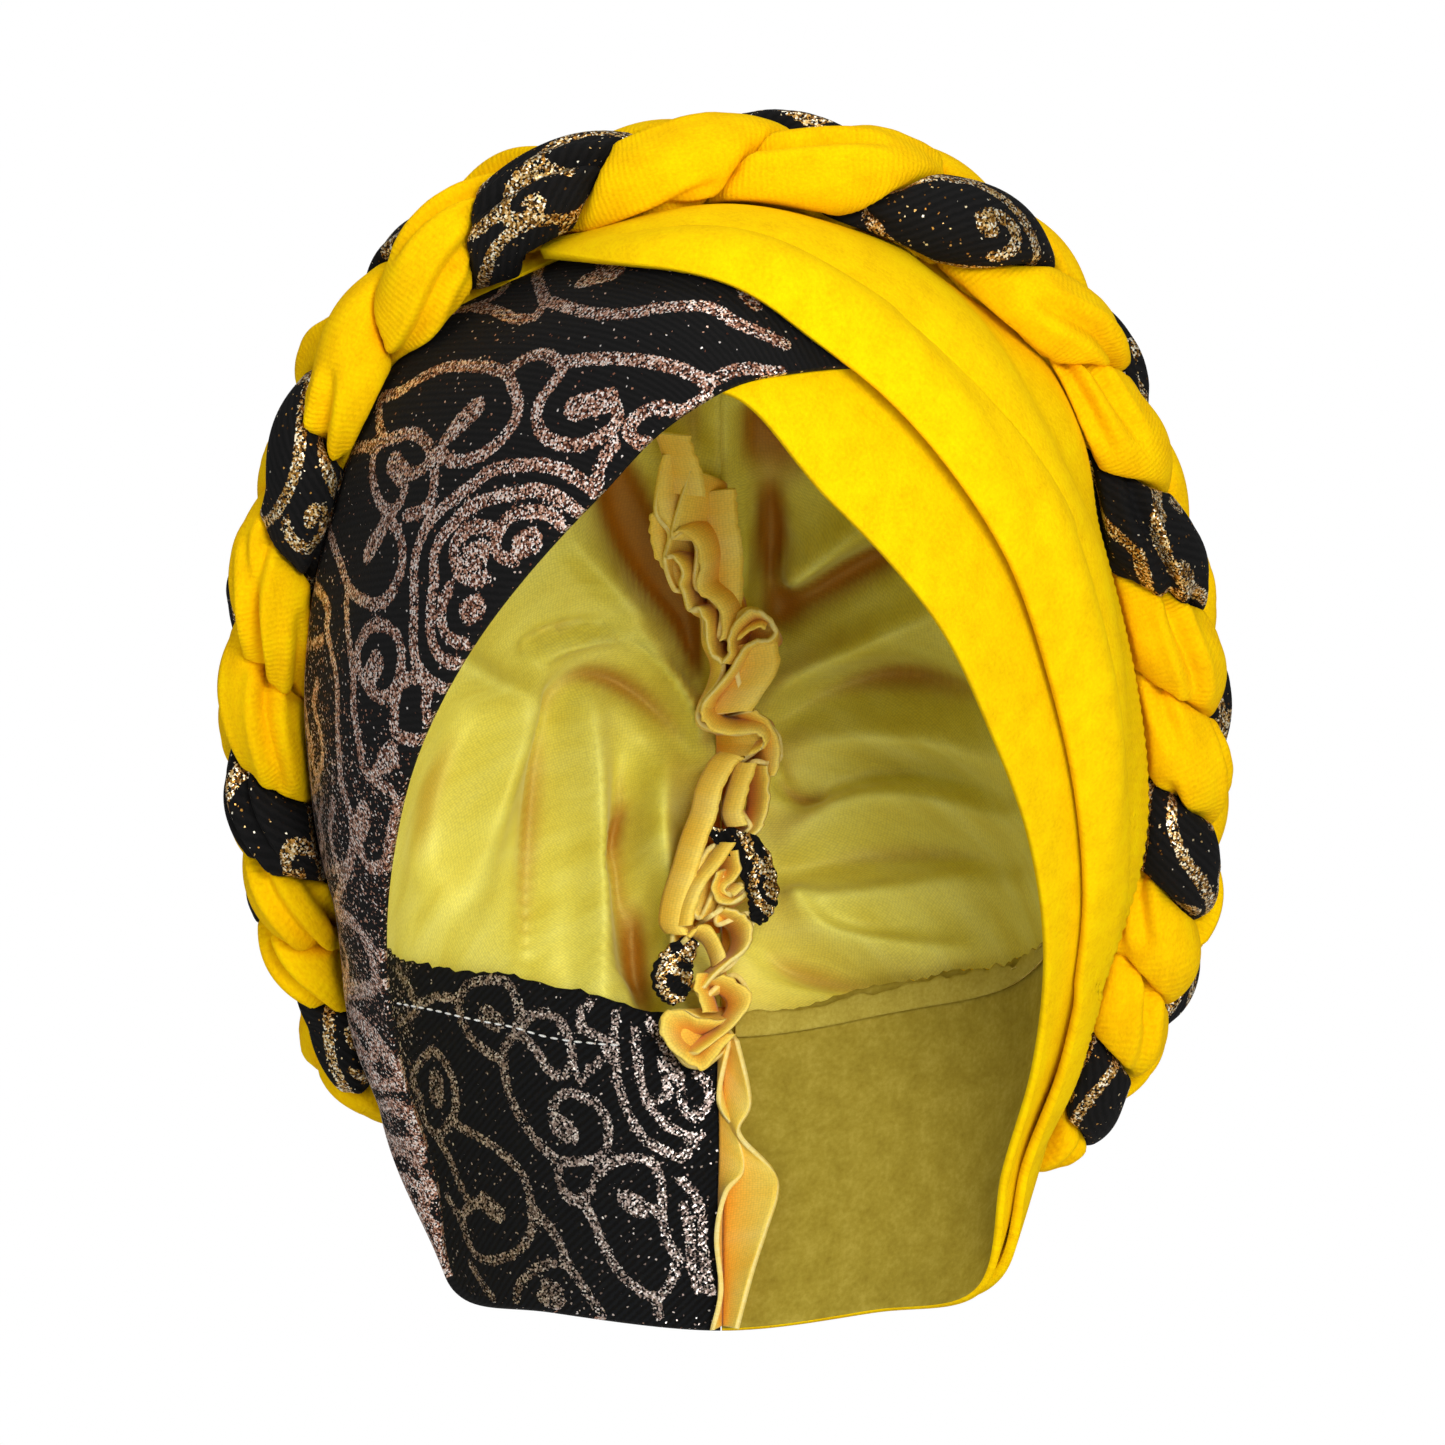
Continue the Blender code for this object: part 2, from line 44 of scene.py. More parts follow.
headMiddle = np.array([0.0, 15.0, -110.0])
cameraDistance = 1300.0
cameraHeight = -109.5
pictureWidth = 1445 * 0.22  # what the photograph spans at the middle of the cap


# Curves and surfaces

def curve(rows, at):  # a smooth line through rows of numbers
    rows = np.asarray(rows, float)
    at = np.clip(np.asarray(at, float), 0.0, len(rows) - 1.0)
    first = np.minimum(at.astype(int), len(rows) - 2)
    part = (at - first)[..., None]
    before, start = rows[np.maximum(first - 1, 0)], rows[first]
    end, after = rows[first + 1], rows[np.minimum(first + 2, len(rows) - 1)]
    bend = 2 * before - 5 * start + 4 * end - after
    turn = 3 * start - before - 3 * end + after
    return 0.5 * (2 * start + (end - before) * part + bend * part**2 + turn * part**3)


def unit(vectors):
    return vectors / np.linalg.norm(vectors, axis=-1, keepdims=True)


def ramp(value, start, end):
    share = np.clip((value - start) / (end - start), 0.0, 1.0)
    return share * share * (3 - 2 * share)


def ripple(a, b, length, seed):  # soft uneven waves from -1 to 1, about that many millimetres long
    draw = np.random.default_rng(seed)
    total = 0.0 * a
    for _ in range(6):
        heading, phase = draw.uniform(0, math.pi), draw.uniform(0, 2 * math.pi)
        stretch = draw.uniform(0.7, 1.5)
        turn = 2 * math.pi * (a * math.cos(heading) + b * math.sin(heading)) * stretch / length
        total = total + np.sin(turn + phase)
    return total / 6 * 1.6


def pictureOf(point):  # where a point is seen from the front, on the plane through the middle of the cap
    shrink = cameraDistance / (cameraDistance + point[..., 1])
    return point[..., 0] * shrink, cameraHeight + (point[..., 2] - cameraHeight) * shrink


# The headband: each section of it from the centre back, by the right side, to the forehead.
# rim right, rim left, rim y, rim z, top right, top left, top y, top z, bulge, where the crown joins
headbandRows = [
    (0.0, 0.0, 80.0, -251.0, 0.0, 0.0, 103.0, -179.0, 2.0, 0.81),
    (34.6, 38.5, 72.0, -246.0, 42.0, 43.0, 94.0, -171.0, 2.5, 0.81),
    (58.2, 59.4, 48.0, -238.5, 67.0, 69.0, 75.0, -164.0, 3.5, 0.82),
    (63.3, 64.3, 34.0, -211.0, 78.0, 76.0, 59.0, -153.0, 5.0, 0.86),
    (69.2, 70.7, 17.0, -186.0, 84.0, 80.5, 47.0, -139.0, 6.5, 0.90),
    (70.6, 73.2, -4.0, -160.0, 87.5, 83.0, 34.0, -118.0, 8.0, 0.92),
    (66.2, 70.0, -25.0, -135.0, 85.0, 83.5, 20.0, -90.0, 9.0, 0.93),
    (57.2, 62.5, -44.0, -112.0, 77.0, 77.0, 6.0, -60.0, 10.0, 0.94),
    (44.5, 47.7, -64.0, -88.0, 64.0, 63.0, -8.0, -31.0, 11.0, 0.94),
    (22.8, 25.5, -79.0, -64.0, 37.0, 37.0, -21.0, -12.5, 11.5, 0.94),
    (0.4, 0.4, -85.0, -45.0, 0.0, 0.0, -27.0, -6.5, 12.0, 0.94),
]
headbandRight = [(r[0], r[2], r[3], r[4], r[6], r[7], r[8]) for r in headbandRows]
headbandLeft = [(-r[1], r[2], r[3], -r[5], r[6], r[7], r[8]) for r in headbandRows]
headbandLoop = [headbandLeft[1]] + headbandRight + headbandLeft[-2::-1] + [headbandRight[1]]
lastSection = 20.0
bandCloth = 1.8


def headband(section, across, lift):
    section, across, lift = np.broadcast_arrays(section, across, lift)
    row = curve(headbandLoop, section + 1)
    rim, top, bulge = row[..., 0:3], row[..., 3:6], row[..., 6:7]
    ahead = curve(headbandLoop, np.minimum(section + 1.05, lastSection + 2))
    behind = curve(headbandLoop, np.maximum(section + 0.95, 0))
    along = (ahead[..., 0:3] + ahead[..., 3:6]) - (behind[..., 0:3] + behind[..., 3:6])
    outward = unit(np.cross(top - rim, along))
    hump = (4 * across * (1 - across))[..., None]
    return rim + (top - rim) * across[..., None] + outward * (bulge * hump + lift[..., None])


# Finishes

def fromHex(colour):  # sRGB hex to the linear colour that a shader takes
    parts = [int(colour[place:place + 2], 16) / 255 for place in (1, 3, 5)]
    return [part / 12.92 if part <= 0.04045 else ((part + 0.055) / 1.055) ** 2.4 for part in parts] + [1.0]


def addNode(finish, kind, settings=(), links=(), **options):
    made = finish.node_tree.nodes.new(kind)
    for name, value in options.items():
        setattr(made, name, value)
    for socket, value in dict(settings).items():
        made.inputs[socket].default_value = value
    for socket, source in dict(links).items():
        finish.node_tree.links.new(source, made.inputs[socket])
    return made


def newFinish(name):
    finish = bpy.data.materials.new(name)
    finish.use_nodes = True
    return finish, finish.node_tree.nodes["Principled BSDF"]


def joinShader(finish, shader, settings, links):
    for socket, value in settings.items():
        shader.inputs[socket].default_value = value
    for socket, source in links.items():
        finish.node_tree.links.new(source, shader.inputs[socket])


def addRamp(finish, source, stops):  # stops are (place, hex colour)
    made = addNode(finish, "ShaderNodeValToRGB", links={"Fac": source})
    steps = made.color_ramp.elements
    while len(steps) < len(stops):
        steps.new(0.5)
    for step, (place, colour) in zip(steps, stops):
        step.position = place
        step.color = fromHex(colour)
    return made


def clothPlace(finish, along, across):  # the cloth's own map, in millimetres, stretched by two factors
    place = addNode(finish, "ShaderNodeUVMap", uv_map="clothMap")
    return addNode(finish, "ShaderNodeMapping", {"Scale": (along, across, 1.0)},
                   {"Vector": place.outputs["UV"]})


def brushedJersey(name, lit, mid, deep, napSize=0.9, ribs=0.0):
    # Brushed cotton jersey: knitted, then raised to a short nap, so it is matt and faintly mottled.
    finish, shader = newFinish(name)
    place = clothPlace(finish, 1.0, 1.0)
    nap = addNode(finish, "ShaderNodeTexNoise", {"Scale": 1 / napSize, "Detail": 4.0, "Roughness": 0.65},
                  {"Vector": place.outputs["Vector"]})
    mottle = addNode(finish, "ShaderNodeTexNoise", {"Scale": 1 / 6.0, "Detail": 5.0},
                     {"Vector": place.outputs["Vector"]})
    blend = addNode(finish, "ShaderNodeMath", {1: 0.55}, {0: nap.outputs["Fac"]}, operation="MULTIPLY")
    mixed = addNode(finish, "ShaderNodeMath", {1: 0.45}, {0: mottle.outputs["Fac"], 2: blend.outputs[0]},
                    operation="MULTIPLY_ADD")
    colour = addRamp(finish, mixed.outputs[0], [(0.30, deep), (0.50, mid), (0.66, lit)])
    stitches = clothPlace(finish, 1.0, 1 / 0.8)
    rows = addNode(finish, "ShaderNodeTexWave",
                   {"Scale": 1 / 3.2, "Distortion": 1.2, "Detail": 2.0, "Detail Scale": 2.0},
                   {"Vector": stitches.outputs["Vector"]}, wave_type="BANDS", bands_direction="X")
    height = addNode(finish, "ShaderNodeMath", {1: ribs}, {0: rows.outputs["Fac"], 2: nap.outputs["Fac"]},
                     operation="MULTIPLY_ADD")
    bump = addNode(finish, "ShaderNodeBump", {"Strength": 0.6, "Distance": 0.35 * mm},
                   {"Height": height.outputs[0]})
    joinShader(finish, shader, {"Roughness": 0.95, "Specular IOR Level": 0.06, "Sheen Weight": 0.2,
                                "Sheen Roughness": 0.5, "Sheen Tint": fromHex("#FFD800")},
               {"Base Color": colour.outputs["Color"], "Normal": bump.outputs["Normal"]})
    return finish


def jerseyInside(name, lit, mid, deep, paintedFoldShade, ribs=0.55):
    # The jersey's smooth wrong side: fine knit rows with a satin light, and a painted orange shade where
    # folds lie deep.
    finish, shader = newFinish(name)
    knit = clothPlace(finish, 1 / ribs, 1 / (ribs * 1.35))
    loops = addNode(finish, "ShaderNodeTexVoronoi", {"Scale": 1.0, "Randomness": 0.35},
                    {"Vector": knit.outputs["Vector"]})
    place = clothPlace(finish, 1 / 9.0, 1 / 26.0)
    mottle = addNode(finish, "ShaderNodeTexNoise", {"Scale": 1.0, "Detail": 5.0},
                     {"Vector": place.outputs["Vector"]})
    colour = addRamp(finish, mottle.outputs["Fac"], [(0.25, deep), (0.5, mid), (0.75, lit)])
    # painted shade: a level on the mesh mixes the orange shade colour into the cloth, fullest in the bottoms
    # of deep folds
    shade = addNode(finish, "ShaderNodeAttribute", attribute_name="paintedFoldShade")
    foldShadePainted = addNode(finish, "ShaderNodeMix", {7: fromHex(paintedFoldShade)},
                     {0: shade.outputs["Fac"], 6: colour.outputs["Color"]},
                     data_type="RGBA")
    # painted light and shade on the knit: each loop's colour is lighter at its raised middle and darker at
    # its edge
    loopLightAndShade = addNode(finish, "ShaderNodeMapRange",
                   {"From Min": 0.1, "From Max": 0.75, "To Min": 1.1, "To Max": 0.82},
                   {"Value": loops.outputs["Distance"]})
    shaded = addNode(finish, "ShaderNodeVectorMath", {},
                     {0: foldShadePainted.outputs[2], "Scale": loopLightAndShade.outputs["Result"]},
                     operation="SCALE")
    bump = addNode(finish, "ShaderNodeBump", {"Strength": 0.4, "Distance": 0.15 * mm},
                   {"Height": loops.outputs["Distance"]}, invert=True)
    joinShader(finish, shader, {"Roughness": 0.46, "Specular IOR Level": 0.8,
                                "Specular Tint": fromHex("#FFF48C"), "Sheen Weight": 0.15,
                                "Sheen Roughness": 0.3},
               {"Base Color": shaded.outputs["Vector"], "Normal": bump.outputs["Normal"]})
    return finish


def lurexKnit(name, flecks, lineWidth, ground="#0E0D0D", strayShare=0.99, fleckSize=0.42, lineShare=0.30):
    # Black viscose knit. A metallised yarn comes to its face along the scrolls, as separate bright flecks,
    # whose colours include painted glints and painted shade.
    finish, shader = newFinish(name)
    place = addNode(finish, "ShaderNodeTexCoord")
    cells = addNode(finish, "ShaderNodeTexVoronoi", {"Scale": 1 / (fleckSize * mm), "Randomness": 0.9},
                    {"Vector": place.outputs["Object"]})
    random = addNode(finish, "ShaderNodeSeparateColor", {}, {"Color": cells.outputs["Color"]})
    scroll = addNode(finish, "ShaderNodeAttribute", attribute_name="scroll")
    ragged = addNode(finish, "ShaderNodeTexNoise", {"Scale": 1 / 0.8, "Detail": 2.0},
                     {"Vector": clothPlace(finish, 1.0, 1.0).outputs["Vector"]})
    edge = addNode(finish, "ShaderNodeMath", {1: 1.6, 2: -0.8}, {0: ragged.outputs["Fac"]},
                   operation="MULTIPLY_ADD")
    off = addNode(finish, "ShaderNodeMath", {}, {0: scroll.outputs["Fac"], 1: edge.outputs[0]},
                  operation="ADD")
    onLine = addNode(finish, "ShaderNodeMath", {1: lineWidth / 2}, {0: off.outputs[0]}, operation="LESS_THAN")
    bright = addNode(finish, "ShaderNodeMath", {1: lineShare}, {0: random.outputs["Red"]},
                     operation="GREATER_THAN")
    taut = addNode(finish, "ShaderNodeAttribute", attribute_name="taut")
    spread = addNode(finish, "ShaderNodeMapRange", {"To Min": strayShare, "To Max": 0.84},
                     {"Value": taut.outputs["Fac"]})
    stray = addNode(finish, "ShaderNodeMath", {}, {0: random.outputs["Green"], 1: spread.outputs["Result"]},
                    operation="GREATER_THAN")
    lineFleck = addNode(finish, "ShaderNodeMath", {}, {0: onLine.outputs[0], 1: bright.outputs[0]},
                        operation="MULTIPLY")
    metal = addNode(finish, "ShaderNodeMath", {}, {0: lineFleck.outputs[0], 1: stray.outputs[0]},
                    operation="MAXIMUM")
    yarn = addRamp(finish, random.outputs["Blue"], flecks)
    knit = clothPlace(finish, 1.0, 1.0)
    rows = addNode(finish, "ShaderNodeTexWave",
                   {"Scale": 1 / 3.4, "Distortion": 2.0, "Detail": 2.0, "Detail Scale": 3.0},
                   {"Vector": knit.outputs["Vector"]}, wave_type="BANDS", bands_direction="DIAGONAL")
    black = addRamp(finish, rows.outputs["Fac"], [(0.2, "#050505"), (0.8, ground)])
    colour = addNode(finish, "ShaderNodeMix", {}, {"Factor": metal.outputs[0]}, data_type="RGBA")
    links = finish.node_tree.links
    links.new(black.outputs["Color"], colour.inputs[6])
    links.new(yarn.outputs["Color"], colour.inputs[7])
    shine = addNode(finish, "ShaderNodeMath", {1: 0.75}, {0: metal.outputs[0]}, operation="MULTIPLY")
    rough = addNode(finish, "ShaderNodeMapRange", {"To Min": 0.9, "To Max": 0.38},
                    {"Value": metal.outputs[0]})
    height = addNode(finish, "ShaderNodeMath", {1: 0.8}, {0: metal.outputs[0], 2: rows.outputs["Fac"]},
                     operation="MULTIPLY_ADD")
    bump = addNode(finish, "ShaderNodeBump", {"Strength": 0.6, "Distance": 0.2 * mm},
                   {"Height": height.outputs[0]})
    joinShader(finish, shader, {"Specular IOR Level": 0.2},
               {"Base Color": colour.outputs[2], "Metallic": shine.outputs[0],
                "Roughness": rough.outputs["Result"],
                "Normal": bump.outputs["Normal"]})
    return finish


def cottonThread(name, grooveShadeGrey):
    # Spun polyester sewing thread, a little glossy, with its twist as fine slanting ridges, painted grey as
    # shade in the grooves between them.
    finish, shader = newFinish(name)
    place = addNode(finish, "ShaderNodeTexCoord")
    twist = addNode(finish, "ShaderNodeTexWave", {"Scale": 900.0, "Distortion": 1.0},
                    {"Vector": place.outputs["Object"]},
                    wave_type="BANDS", bands_direction="DIAGONAL")
    bump = addNode(finish, "ShaderNodeBump", {"Strength": 0.4, "Distance": 0.05 * mm},
                   {"Height": twist.outputs["Fac"]})
    colour = addRamp(finish, twist.outputs["Fac"], [(0.0, grooveShadeGrey), (1.0, "#FFFFFF")])
    joinShader(finish, shader, {"Roughness": 0.5},
               {"Base Color": colour.outputs["Color"], "Normal": bump.outputs["Normal"]})
    return finish


yellowOuter = brushedJersey("brushedYellowJersey", "#FFDA00", "#FBCD00", "#EBB600")
yellowBraid = brushedJersey("smoothYellowJersey", "#FFD400", "#F9C400", "#E8AA00", napSize=0.6, ribs=0.45)
# the fourth colour of each wrong side is painted orange shade for the bottoms of deep folds
yellowInner = jerseyInside("yellowJerseyWrongSide", "#F8F07C", "#EFE363", "#E2D04A", "#A8620A")
yellowRuffle = jerseyInside("yellowJerseySeamAllowance", "#FFE680", "#FFDC5E", "#FFCC42", "#EE8C10")
yellowFleece = brushedJersey("yellowFleeceWrongSide", "#B4A043", "#A39033", "#8E7A27", napSize=1.4)
yellowAllowance = brushedJersey("yellowFleeceAllowance", "#C2B050", "#B4A142", "#A08C32", napSize=1.0)
rawYellow = brushedJersey("rawYellowEdge", "#FFEFA6", "#FCE48A", "#F5D565", napSize=0.5)
# each fleck palette runs from painted shade near black, through the yarn's own metal colour, to painted
# glints near white
copperFlecksAndGlints = [(0.0, "#2A1610"), (0.3, "#7A4632"), (0.5, "#C48E72"), (0.7, "#EBC8B4"), (0.85, "#FFF6F0")]
goldFlecksAndGlints = [(0.0, "#2A1A08"), (0.3, "#80551C"), (0.5, "#C08C3C"), (0.72, "#E6C98A"), (0.88, "#FFF8E0")]
silverFlecksAndGlints = [(0.0, "#4B403C"), (0.3, "#85736B"), (0.55, "#AC9A92"), (0.8, "#D6C9C2"), (0.95, "#F4EEEA")]
lurexOuter = lurexKnit("blackLurexKnitCopper", copperFlecksAndGlints, 3.0, lineShare=0.22)
lurexBraid = lurexKnit("blackLurexKnitGold", goldFlecksAndGlints, 2.6, strayShare=0.985, lineShare=0.22)
lurexInner = lurexKnit("blackLurexKnitWrongSide", silverFlecksAndGlints, 2.4, ground="#0E1013", strayShare=0.985,
                       lineShare=0.42)
whiteThread = cottonThread("whiteSewingThread", "#D5DADD")
print("finishes made")


# Sheets of cloth

def makeObject(name, shape):
    mesh = bpy.data.meshes.new(name)
    shape.to_mesh(mesh)
    shape.free()
    made = bpy.data.objects.new(name, mesh)
    bpy.context.scene.collection.objects.link(made)
    return made


def clothPlaces(surface, flat):  # millimetres along and across the cloth, measured on it from its middle
    grid = np.meshgrid(np.linspace(0, 1, 160), np.linspace(0, 1, 31), indexing="ij")
    net = surface(*[axis.ravel() for axis in grid])
    net = net.reshape(160, 31, 3)
    along = np.concatenate([[0.0], np.cumsum(np.linalg.norm(np.diff(net[:, 15], axis=0), axis=1))])
    across = np.cumsum(np.linalg.norm(np.diff(net, axis=1), axis=2), axis=1)
    across = np.hstack([np.zeros((160, 1)), across]) - across[:, 14:15]
    row, column = flat[:, 0] * 158.999, flat[:, 1] * 29.999
    i, j = row.astype(int), column.astype(int)
    a, b = row - i, column - j
    upper = across[i, j] * (1 - b) + across[i, j + 1] * b
    lower = across[i + 1, j] * (1 - b) + across[i + 1, j + 1] * b
    return np.column_stack([along[i] * (1 - a) + along[i + 1] * a, upper * (1 - a) + lower * a])


def layCloth(shape, surface, cells):  # adds a grid to the mesh and bends it to the surface
    before = len(shape.verts)
    bmesh.ops.create_grid(shape, x_segments=cells[0], y_segments=cells[1], size=0.5)
    shape.verts.ensure_lookup_table()
    fresh = shape.verts[before:]
    flat = np.clip(np.array([vertex.co for vertex in fresh])[:, :2] + 0.5, 0.0, 1.0)
    for vertex, point in zip(fresh, surface(flat[:, 0], flat[:, 1])):
        vertex.co = Vector(point * mm)
    return flat, clothPlaces(surface, flat)


def writeClothMap(mesh, places):  # the cloth map holds millimetres along and across the piece
    corners = np.zeros(len(mesh.loops), int)
    mesh.loops.foreach_get("vertex_index", corners)
    clothMap = mesh.uv_layers.new(name="clothMap")
    clothMap.data.foreach_set("uv", places[corners].ravel().astype(np.float32))


def makeSheet(name, surfaces, cells, wall, finishes, outward=True, levels=()):  # finishes: face, back, edge
    shape = bmesh.new()
    laid = [layCloth(shape, surface, size) for surface, size in zip(surfaces, cells)]
    shape.normal_update()
    if outward:
        middle = Vector(headMiddle * mm)
        facing = sum(face.normal.dot(face.calc_center_median() - middle) for face in shape.faces)
        if facing < 0:
            bmesh.ops.reverse_faces(shape, faces=shape.faces[:])
    made = makeObject(name, shape)
    writeClothMap(made.data, np.vstack([places for flat, places in laid]))
    for levelName, level in levels:
        values = np.concatenate([each(flat, places) for each, (flat, places) in zip(level, laid)])
        painted = made.data.attributes.new(levelName, "FLOAT", "POINT")
        painted.data.foreach_set("value", values.astype(np.float32))
    for finish in finishes:
        made.data.materials.append(finish)
    made.data.shade_smooth()
    thick = made.modifiers.new("wall", "SOLIDIFY")
    thick.thickness = wall * mm
    thick.offset = 1.0 if outward else 0.0
    thick.material_offset = 1
    thick.material_offset_rim = 2
    return made


def bandStrip(rows, along, across):  # rows are section, front edge, back edge, lift
    row = curve(rows, along * (len(rows) - 1))
    return row[..., 0], row[..., 1] + (row[..., 2] - row[..., 1]) * across, row[..., 3]


# Crown

crownCloth = {
    "wall": 1.3, "cells": (300, 96), "seamGap": 0.012, "firstSection": 0.05, "lastSection": 9.95,
    "fullness": 0.92,
    # two fold depths here only set the painted shade in the folds: shadeFrom, where it begins, and the depth
    # where it is full
    "gathers": 8.5, "gatherHeight": 5.0, "swag": 3.0, "wrinkle": 0.35, "fullShadeDepth": 9.0, "joinBack": 0.055,
    "foldHeight": 2.4, "foldWidth": 0.95, "deepest": 10.0, "shadeFrom": 3.0,
}
centreSeam = [  # y, z of the seam at each section
    (106.5, -184.0), (107.8, -163.0), (109.5, -130.0), (107.5, -92.0), (96.0, -54.0), (74.0, -22.0),
    (42.0, -4.5), (14.0, 0.0), (-4.0, -0.4), (-17.0, -2.8), (-27.0, -6.5),
]
insideFolds = [  # three points of each fold (x, z as seen from the front), its width, its height inward
    ((-22.7, -56.1), (-14.5, -77.0), (-2.0, -94.6), 5.5, -11.0),
    ((-32.1, -70.5), (-17.8, -83.9), (-5.7, -94.0), 4.0, 3.5),
    ((-38.7, -94.0), (-17.8, -91.4), (-4.6, -112.2), 2.4, 5.5),
    ((-42.0, -92.7), (-24.4, -89.1), (-6.8, -100.1), 1.8, -4.5),
    ((-6.8, -91.4), (-3.3, -96.9), (0.2, -101.2), 3.0, -5.0),
    ((-36.5, -104.5), (-23.3, -100.6), (-6.8, -114.5), 3.4, -4.5),
    ((-29.3, -104.5), (-28.4, -137.6), (-26.6, -170.6), 4.6, 4.5),
    ((-21.1, -117.7), (-21.8, -139.8), (-20.5, -161.8), 3.2, -4.0),
    ((-13.0, -121.0), (-14.1, -137.6), (-11.7, -157.4), 4.4, 5.5),
    ((-15.6, -144.1), (-17.4, -157.4), (-15.6, -170.6), 3.0, -5.5),
    ((-40.9, -102.4), (-50.8, -124.4), (-55.7, -148.6), 5.5, 4.5),
    ((-54.1, -109.0), (-60.7, -124.4), (-65.1, -141.9), 5.0, -3.0),
    ((-37.2, -104.5), (-39.8, -126.5), (-42.0, -159.6), 3.6, -3.6),
    ((-61.8, -93.5), (-53.0, -100.1), (-45.3, -102.4), 4.0, 3.0),
    ((-17.8, -125.5), (-22.7, -133.1), (-25.7, -143.1), 1.8, -2.0),
    ((-4.6, -45.1), (6.4, -49.5), (17.4, -54.0), 8.0, -6.0),
    ((-5.3, -61.6), (2.4, -68.2), (3.7, -82.5), 4.6, 6.5),
    ((9.7, -62.8), (9.9, -73.8), (11.2, -85.9), 4.2, -8.0),
    ((11.2, -80.4), (21.8, -72.0), (33.9, -63.2), 3.6, 5.0),
    ((11.9, -88.0), (27.3, -78.1), (42.7, -72.0), 3.8, -6.0),
    ((12.5, -102.8), (28.4, -94.0), (49.3, -84.3), 4.6, 5.5),
    ((14.1, -107.9), (31.7, -99.7), (55.9, -104.5), 4.2, -4.5),
    ((17.4, -114.5), (39.4, -112.9), (62.5, -117.7), 5.0, 3.6),
    ((11.9, -119.5), (15.2, -124.8), (21.8, -125.7), 1.6, -3.0),
    ((17.4, -126.5), (37.2, -120.0), (61.4, -126.5), 3.6, -2.6),
    ((16.3, -134.2), (37.2, -126.5), (62.5, -130.9), 4.6, 3.4),
    ((14.1, -140.9), (37.2, -137.1), (63.6, -139.8), 4.0, -2.6),
    ((11.9, -148.6), (28.4, -149.6), (52.6, -145.2), 4.4, 3.0),
    ((17.4, -149.6), (27.3, -158.4), (52.6, -160.6), 3.6, 3.0),
    ((9.7, -158.4), (19.6, -162.9), (39.4, -167.2), 3.6, -3.4),
]


def foldRelief(u, v):  # how far the folds bring the cloth in towards the head
    relief = 0.0 * u
    for first, second, third, width, height in insideFolds:
        t = np.linspace(0, 1, 24)[:, None]
        bend = 2 * np.array(second) - (np.array(first) + np.array(third)) / 2
        line = (1 - t)**2 * np.array(first) + 2 * t * (1 - t) * bend + t**2 * np.array(third)
        strength = np.sin(math.pi * np.clip(t[:, 0] * 0.8 + 0.1, 0, 1))**0.7
        best = 0.0 * u
        for (x, z), strong in zip(line, strength):
            beside = np.exp(-((u - x)**2 + (v - z)**2) / (width * crownCloth["foldWidth"])**2)
            best = np.maximum(best, strong * beside)
        relief = relief + height * crownCloth["foldHeight"] * best
    return np.where(relief < 0, crownCloth["deepest"] * np.tanh(relief / crownCloth["deepest"]), relief)


def crownHoop(side, section, rise):
    section, rise = np.broadcast_arrays(section, rise)
    place = section if side > 0 else lastSection - section
    joins = [row[9] for row in headbandRows]
    join = np.interp(section, range(11), joins) + crownCloth["joinBack"] * ramp(section, 3.0, 6.0)
    foot = headband(place, join, bandCloth + 0.6)
    seam = curve(centreSeam, section)
    near = np.cos(rise * math.pi / 2) ** crownCloth["fullness"]
    high = np.sin(rise * math.pi / 2) ** crownCloth["fullness"]
    gap = side * crownCloth["seamGap"]
    x = gap + (foot[..., 0] - gap) * near
    y = seam[..., 0] + (foot[..., 1] - seam[..., 0]) * (1 - high)
    z = seam[..., 1] + (foot[..., 2] - seam[..., 1]) * (1 - high)
    return np.stack([x, y, z], axis=-1)


def crownRelief(side, along, rise):  # the plain hoops, their way out, and how far folds and gathers push
    span = crownCloth["lastSection"] - crownCloth["firstSection"]
    section = crownCloth["firstSection"] + span * along
    point = crownHoop(side, section, rise)
    outward = unit(point - headMiddle)
    wave = np.abs(np.sin(math.pi * crownCloth["gathers"] * section / 10))
    fade = ramp(section, 0.2, 1.2) * (1 - ramp(section, 8.4, 9.4))
    puff = crownCloth["gatherHeight"] * wave * ramp(rise, 0.25, 0.85) * (1 - 0.6 * ramp(rise, 0.93, 1.0))
    swag = crownCloth["swag"] * np.sin(math.pi * np.clip(rise / 0.6, 0, 1)) * (0.5 - wave)
    u, v = pictureOf(point)
    seen = ramp(outward[..., 1], 0.25, 0.6) * ramp(rise, 0.12, 0.3) * (1 - ramp(rise, 0.96, 0.995))
    folds = foldRelief(u, v) * seen
    wrinkles = crownCloth["wrinkle"] * ripple(u, v, 26.0, 5 + side) * fade
    out = (puff + swag * 0.5) * fade * (1 - 0.75 * seen) + wrinkles
    return point, outward, folds, out


def crownSurface(side):
    def surface(along, rise):
        point, outward, folds, out = crownRelief(side, along, rise)
        return point + outward * (out - folds)[..., None]
    return surface


def crownPaintedShade(side):  # how much painted shade a fold gets: 1 in the bottom of a deep fold and 0 on the rest
    def level(flat, places):
        point, outward, folds, out = crownRelief(side, flat[:, 0], flat[:, 1])
        return ramp(-folds, crownCloth["shadeFrom"], crownCloth["fullShadeDepth"])
    return level


crownRight = makeSheet("crownRight", [crownSurface(1)], [crownCloth["cells"]], crownCloth["wall"],
                       (yellowOuter, yellowInner, yellowOuter), levels=[("paintedFoldShade", [crownPaintedShade(1)])])
crownLeft = makeSheet("crownLeft", [crownSurface(-1)], [crownCloth["cells"]], crownCloth["wall"],
                      (yellowOuter, yellowInner, yellowOuter), levels=[("paintedFoldShade", [crownPaintedShade(-1)])])
print("crown made")


# Headband of lurex on the left and yellow on the right

